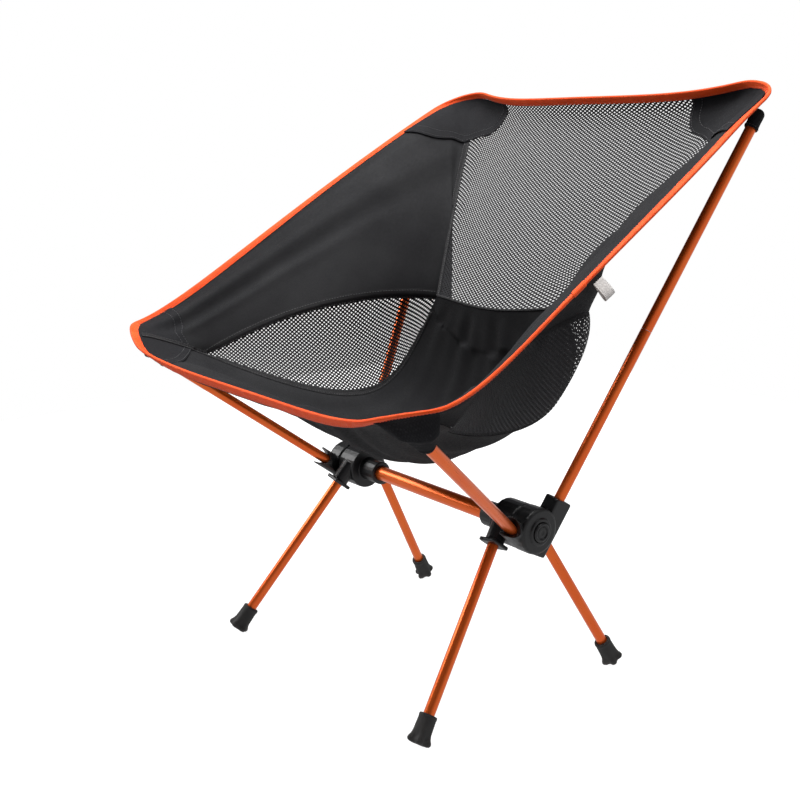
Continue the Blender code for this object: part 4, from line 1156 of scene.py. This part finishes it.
TIP_ROWS = np.linspace(0.13, 1.03, 60)[:, None]
LEAF_ROWS = np.linspace(0.006, 0.994, 160)[:, None]
for label, side in SIDES:
    seam_band("back_seam_band_" + label, back_band(side))
    seam_band("leaf_upper_band_" + label, leaf_band(side, True))
    seam_band("leaf_lower_band_" + label, leaf_band(side, False))
    seam_band("tip_seam_band_" + label, tip_band(side), 0.0014 * ease((0.86 - TIP_ROWS) / 0.06))
seam_band("low_seam_band", low_band())


# ------------------------ edge tape
TAPE_T = 0.0007
TAPE_DEPTHS = np.array([0.0005, 0.0020, 0.0036, 0.0053, 0.0070, 0.0085, 0.0097])
TAPE_HALF = 0.00170  # half the folded tape's thickness at its rounded edge
TAPE_ROUND = 0.00155  # how far the fold stands out past the first depth
STITCH_COLUMN = 4     # the depth at which the tape is sewn


def edge_line(panel, side, reverse, count):
    """Points and normals at the tape's depths along one panel edge."""
    u = np.linspace(0.0, 1.0, count)
    v = depth_shares(panel, u, TAPE_DEPTHS)
    p, n = laid(*panel, np.repeat(u[:, None], len(TAPE_DEPTHS), 1), v, side)
    return (p[:0:-1], n[:0:-1]) if reverse else (p[:-1], n[:-1])


def ring_of_edges():
    parts = [edge_line(SIDE, 1.0, False, 260), edge_line(BACK, 1.0, False, 210),
             edge_line(SIDE, -1.0, True, 260), edge_line(BASE, 1.0, True, 220)]
    p, n = (np.concatenate(pair) for pair in zip(*parts))
    for _ in range(3):
        n = (np.roll(n, 1, 0) + n * 2.0 + np.roll(n, -1, 0)) / 4.0
    return p, unit(n)


ring_p, ring_n = ring_of_edges()


def tape_section(p, n, outer_lift):
    """Closed section of folded tape at each station, as rows of points."""
    inward = unit(p[:, 2] - p[:, 0])
    station = np.arange(len(p))
    ripple = 0.00007 * np.sin(station * 0.9) + 0.00005 * np.sin(station * 0.37 + 1.0)
    half = TAPE_HALF * np.interp(TAPE_DEPTHS, (0.0, 0.0036, 0.0085, 0.0097),
                                 (1.0, 1.0, 0.66, 0.60))

    def wall(sign, lift):
        return [p[:, k] + n[:, k] * (sign * (half[k] + lift + ripple))[:, None]
                for k in range(len(TAPE_DEPTHS))]

    def turn(lift, angles):
        return [p[:, 0] + n[:, 0] * ((half[0] + lift) * math.cos(a))
                - inward * ((TAPE_ROUND + lift) * math.sin(a)) for a in angles]

    angles = [math.radians(a) for a in (30, 60, 90, 120, 150)]
    outer = wall(1, outer_lift)[::-1] + turn(outer_lift, angles) + wall(-1, outer_lift)
    inner_lift = outer_lift - TAPE_T
    inner = wall(-1, inner_lift)[::-1] + turn(inner_lift, angles[::-1]) + wall(1, inner_lift)
    return np.stack(outer + inner, 1)


def section_uv(section):
    return grid_of(reach_of(section[:, 0]), reach_of(section[0])).reshape(-1, 2)


section = tape_section(ring_p, ring_n, 0.0)
tape = add_piece("edge_binding", section.reshape(-1, 3),
                 quads(*section.shape[:2], wrap_u=True, wrap_v=True), TAPE, section_uv(section))
stand_in(sharpen(outward(tape), 70), "orange_tape", "edge_tape")
p = np.vstack([ring_p[:, STITCH_COLUMN], ring_p[:1, STITCH_COLUMN]])
n = np.vstack([ring_n[:, STITCH_COLUMN], ring_n[:1, STITCH_COLUMN]])
thread_lift = TAPE_HALF * 0.80 + 0.00002
sewn(tape, [(p + n * sign * thread_lift, n * sign, 0.0) for sign in (1.0, -1.0)],
     ORANGE_THREAD, "orange_tape")

# the ends of the binding overlap on the right edge, a third of the way back
join = slice(92, 101)
section = tape_section(ring_p[join], ring_n[join], 0.0008)
trims.append(on_seat(capped_tube("edge_binding_overlap", section, TAPE, section_uv(section), 70),
                     "orange_tape"))


# ------------------------ corner patches
PATCH_START = 0.0086  # the patch starts under the rim of the tape
PATCH_RINGS = np.array([0.0, 0.2, 0.4, 0.6, 0.75, 0.86, 0.905, 0.94, 0.972, 1.0])


def share_at_depth(panel, u, depth):
    """Share v at which the panel lies the given depth inside its edge, for grids of both."""
    across, down, deepest = 240, 140, 0.14
    table = depth_shares(panel, np.linspace(0.0, 1.0, across + 1),
                         np.linspace(0.0, deepest, down + 1))
    a = np.clip(u, 0.0, 1.0) * across
    b = np.clip(depth / deepest, 0.0, 1.0) * down
    i = np.minimum(a.astype(int), across - 1)
    j = np.minimum(b.astype(int), down - 1)
    a, b = a - i, b - j
    near = table[i, j] * (1 - b) + table[i, j + 1] * b
    return near * (1 - a) + (table[i + 1, j] * (1 - b) + table[i + 1, j + 1] * b) * a


def patch_half(panel, side, edge_length, from_end, along_edge, along_seam, power):
    """The part of a patch on one panel: rings about the corner, out to a rounded outline."""
    theta = np.linspace(0.0, math.pi / 2, 40)
    rho = ((np.cos(theta) / along_edge) ** power
           + (np.sin(theta) / along_seam) ** power) ** (-1.0 / power)
    across = np.outer(rho * np.cos(theta), PATCH_RINGS) / edge_length
    down = PATCH_START + np.outer((rho - PATCH_START * np.sin(theta)) * np.sin(theta),
                                  PATCH_RINGS)
    u = 1.0 - across if from_end else across
    return laid(*panel, u, share_at_depth(panel, u, down), side)


def patch(place, label, lift, halves, *outline):
    """Reinforcing cloth over a corner, on both panels, with a turned rim and two stitch rows."""
    (p, n), (far_p, far_n) = (patch_half(*half, *shape) for half, shape in zip(halves, outline))
    p = np.concatenate([p, far_p[-2::-1]])
    n = np.concatenate([n, far_n[-2::-1]])
    for _ in range(4):
        n[1:-1] = (n[:-2] + n[1:-1] * 2 + n[2:]) / 4.0
    n = unit(n)
    rim = np.interp(PATCH_RINGS, (0.0, 0.86, 0.905, 0.972, 1.0),
                    (0.0, 0.0, 0.00035, 0.00045, 0.0001))
    lifted = p + n * (lift + rim)[None, :, None]
    ob = thick_sheet(f"corner_patch_{place}_{label}", lifted, n, 0.0006, PATCH_CLOTH, flat_uv(p))
    stand_in(ob, "oxford_cloth", f"patch_{place}_{label}")
    rows = [(lifted[:, k], n[:, k], 0.00035) for k in (5, 8)]
    sewn(ob, rows)


for label, side in SIDES:
    patch("rear", label, 0.0020,
          ((SIDE, side, side_edge.length, True), (BACK, side, top_edge.length, False)),
          (0.109, 0.084, 1.42), (0.090, 0.084, 1.66))
    patch("front", label, 0.0012,
          ((SIDE, side, side_edge.length, False), (BASE, side, front_edge.length, False)),
          (0.080, 0.071, 1.5), (0.074, 0.071, 1.5))


# ------------------------ arm tip pockets
POCKET_AROUND = 40
POCKET_ANGLES = np.arange(POCKET_AROUND) * 2.0 * math.pi / POCKET_AROUND
TIP_PAST_ARM = 0.0085  # from the end of the arm's tube to the closed end of its pocket
MOUTH_ROW = 3          # the ring of the pocket's mouth that is stitched
POCKET_ROUND = 0.80  # share of the length from which the closed end rounds off


def corner_flap(side, ring):
    """Rings that carry a front pocket on from its sleeve and flatten it onto the corner."""
    a, b = np.meshgrid(np.linspace(0.0, 0.3, 90), np.linspace(0.02, 0.98, 50), indexing="ij")
    grids = [laid(*SIDE, a, b, side), laid(*BASE, a, b * 0.4, side)]
    cloth, above = (np.concatenate([g.reshape(-1, 3) for g in pair]) for pair in zip(*grids))
    corner = arc_f[6] * np.array((side, 1.0, 1.0)) + MOVED
    middle = ring.mean(0)
    far = corner + (middle - corner) * 0.40
    rings = []
    for s in (0.12, 0.28, 0.46, 0.64, 0.80, 0.92, 1.0):
        place = middle + (far - middle) * s + (ring - middle) * (1.0 + 1.35 * s)
        near = [np.argmin(np.linalg.norm(cloth - point, axis=1)) for point in place]
        gap = np.where(np.sin(POCKET_ANGLES) < 0.0, 0.0022 - 0.0010 * s, 0.0008)[:, None]
        pull = ease((s - 0.20) * 1.6)
        outer = place * (1.0 - pull) + (cloth[near] - above[near] * gap) * pull
        rings.append((outer, outer + above[near] * 0.0002))
    return rings


def pocket(label, side, place, length, half_width, half_height, slim, up_hint):
    """Closed fabric sleeve on the outside of a corner, which the arm tip plugs into."""
    arm = "arm_front_" if place == "front" else "arm_rear_upper_"
    _, end, d, _, _ = axis_of(arm + label, HUBS[label])
    d = np.array(d)
    tip = np.array(end) + d * TIP_PAST_ARM
    up = np.array((up_hint[0] * side, up_hint[1], up_hint[2]))
    up = unit(up - d * (up @ d))
    out = np.cross(d, up)
    cos, sin = np.cos(POCKET_ANGLES), np.sin(POCKET_ANGLES)
    x = (np.copysign(np.abs(cos) ** 0.9, cos))[:, None]
    y = (np.copysign(np.abs(sin) ** 0.8, sin))[:, None]
    shares = np.concatenate([[0.0, 0.03, 0.06, 0.10, 0.13], np.linspace(0.2, POCKET_ROUND, 8),
                             [0.88, 0.94, 0.98, 1.0]])
    rings = []
    for t in shares:
        wide = half_width[0] + (half_width[1] - half_width[0]) * t
        tall = half_height * (1.10 - slim * t)
        cap = math.sqrt(1.0 - (max(t - POCKET_ROUND, 0.0) / 0.205) ** 2)
        hem = 0.0003 if 0.02 < t < 0.11 else 0.0
        crease = 0.00025 * np.sin(9.0 * POCKET_ANGLES + 7.0 * t)[:, None] * (0.3 < t < 0.9)
        pair = []
        for off in (hem + crease, -0.0008):
            flat = np.minimum(y * (tall + off) * max(cap, 0.12), half_height + 0.0003 + off)
            pair.append(tip - d * (length * (1.0 - t)) + up * flat
                        + out * (x * (wide + 0.0003 + off) * max(cap, 0.08)))
        rings.append(pair)
    if place == "front":
        rings = rings[:-5] + corner_flap(side, rings[-6][0])
    grid = np.array([inner for _, inner in rings[-2::-1]] + [outer for outer, _ in rings])
    uv = grid_of(np.arange(len(grid)) * 0.0018, np.arange(POCKET_AROUND) * 0.0011)
    ob = capped_tube(f"tip_pocket_{place}_{label}", grid, PATCH_CLOTH, uv.reshape(-1, 2), 60)
    stand_in(ob, "oxford_cloth", f"pocket_{place}_{label}")
    mouth = np.vstack([rings[MOUTH_ROW][0], rings[MOUTH_ROW][0][:1]])
    normal = unit(mouth - (tip - d * (length * (1.0 - shares[MOUTH_ROW]))))
    sewn(ob, [(mouth, normal, 0.0)])


for label, side in SIDES:
    pocket(label, side, "front", 0.027, (0.0078, 0.0190), 0.0072, 0.30, (-0.20, 0.28, 0.94))
    pocket(label, side, "rear", 0.022, (0.0080, 0.0078), 0.0066, 0.12, (-0.875, -0.40, 0.27))


# ------------------------ care tag
TAG_SHARE = 0.405  # place of the tag along the side edge
TAG_HALF, TAG_LENGTH = 0.0062, 0.0195
TAG_LOOP = [(0.0004, 0.0), (0.0016, 0.25), (0.0034, 0.55), (0.0040, 0.80), (0.0033, 0.95),
            (0.0022, 1.0), (0.0010, 0.97), (0.0002, 0.82), (-0.0002, 0.55), (-0.0003, 0.25),
            (-0.0003, 0.0)]  # distance out from the cloth, and share of the length down


def care_tag():
    """Plain folded satin ribbon sewn under the edge tape."""
    run = unit(side_edge.at(TAG_SHARE + 0.01) - side_edge.at(TAG_SHARE))
    down = np.array((0.25, 0.0, -1.0))
    down = unit(down - run * (down @ run))
    face = np.cross(run, down)
    face *= math.copysign(1.0, face[0])
    lo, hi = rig.box("care_tag")
    top = np.array((lo + hi) / 2) - down * 0.0088
    loop = Line([(out, 0.0, share * TAG_LENGTH) for out, share in TAG_LOOP]).soft(0.004, 60)
    off, _, fall = (column[:, None, None] for column in loop.points[::2].T)
    across = np.linspace(-TAG_HALF, TAG_HALF, 11)[None, :, None]
    curl = 0.0007 * np.sin(220.0 * across + 0.6) * fall / TAG_LENGTH
    grid = top + run * across + down * fall + face * (off + curl)
    n = unit(np.cross(np.gradient(grid, axis=0), np.gradient(grid, axis=1)))
    ob = thick_sheet("care_ribbon", grid, n, 0.00022, TAG, flat_uv(grid))
    return stand_in(ob, "white_tag", "care_tag")


trims.append(care_tag())

# ------------------------ CAD nodes that stay
STAYING = {"cord": CORD, "crossbar": CORD, "ferrule": BARE, "pivot": STEEL, "arm": PLASTIC}
for name, node in NODES.items():
    if not node.hide_render:
        for k in range(len(node.data.materials)):
            node.data.materials[k] = STAYING[name.split("_")[0]]

# ------------------------ cloth facts
for label, side in SIDES:
    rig.sheet(side_cloths[label], flat=(0.594, 0.345), held="stretched", area=0.075,
             rests_on=["edge_binding", f"tip_pocket_front_{label}", f"tip_pocket_rear_{label}"])
    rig.sheet(leaf_nets[label], flat=(0.380, 0.125), held="stretched", area=0.0245,
             rests_on=["side_cloth_" + label, "seat_bottom_cloth"])
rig.sheet(seat_cloth, flat=(0.512, 0.400), held="stretched", area=0.145,
         rests_on=["edge_binding", "side_cloth_right", "side_cloth_left"])
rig.sheet(back_net, flat=(0.486, 0.345), held="stretched", area=0.0975,
         rests_on=["edge_binding", "side_cloth_right", "side_cloth_left"],
         with_pieces=trims)

with open("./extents.json", "w") as out:
    json.dump({"cad": [list(map(float, c)) for c in cad_box],
               "visual": [list(map(float, c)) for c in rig.bounds()]}, out)
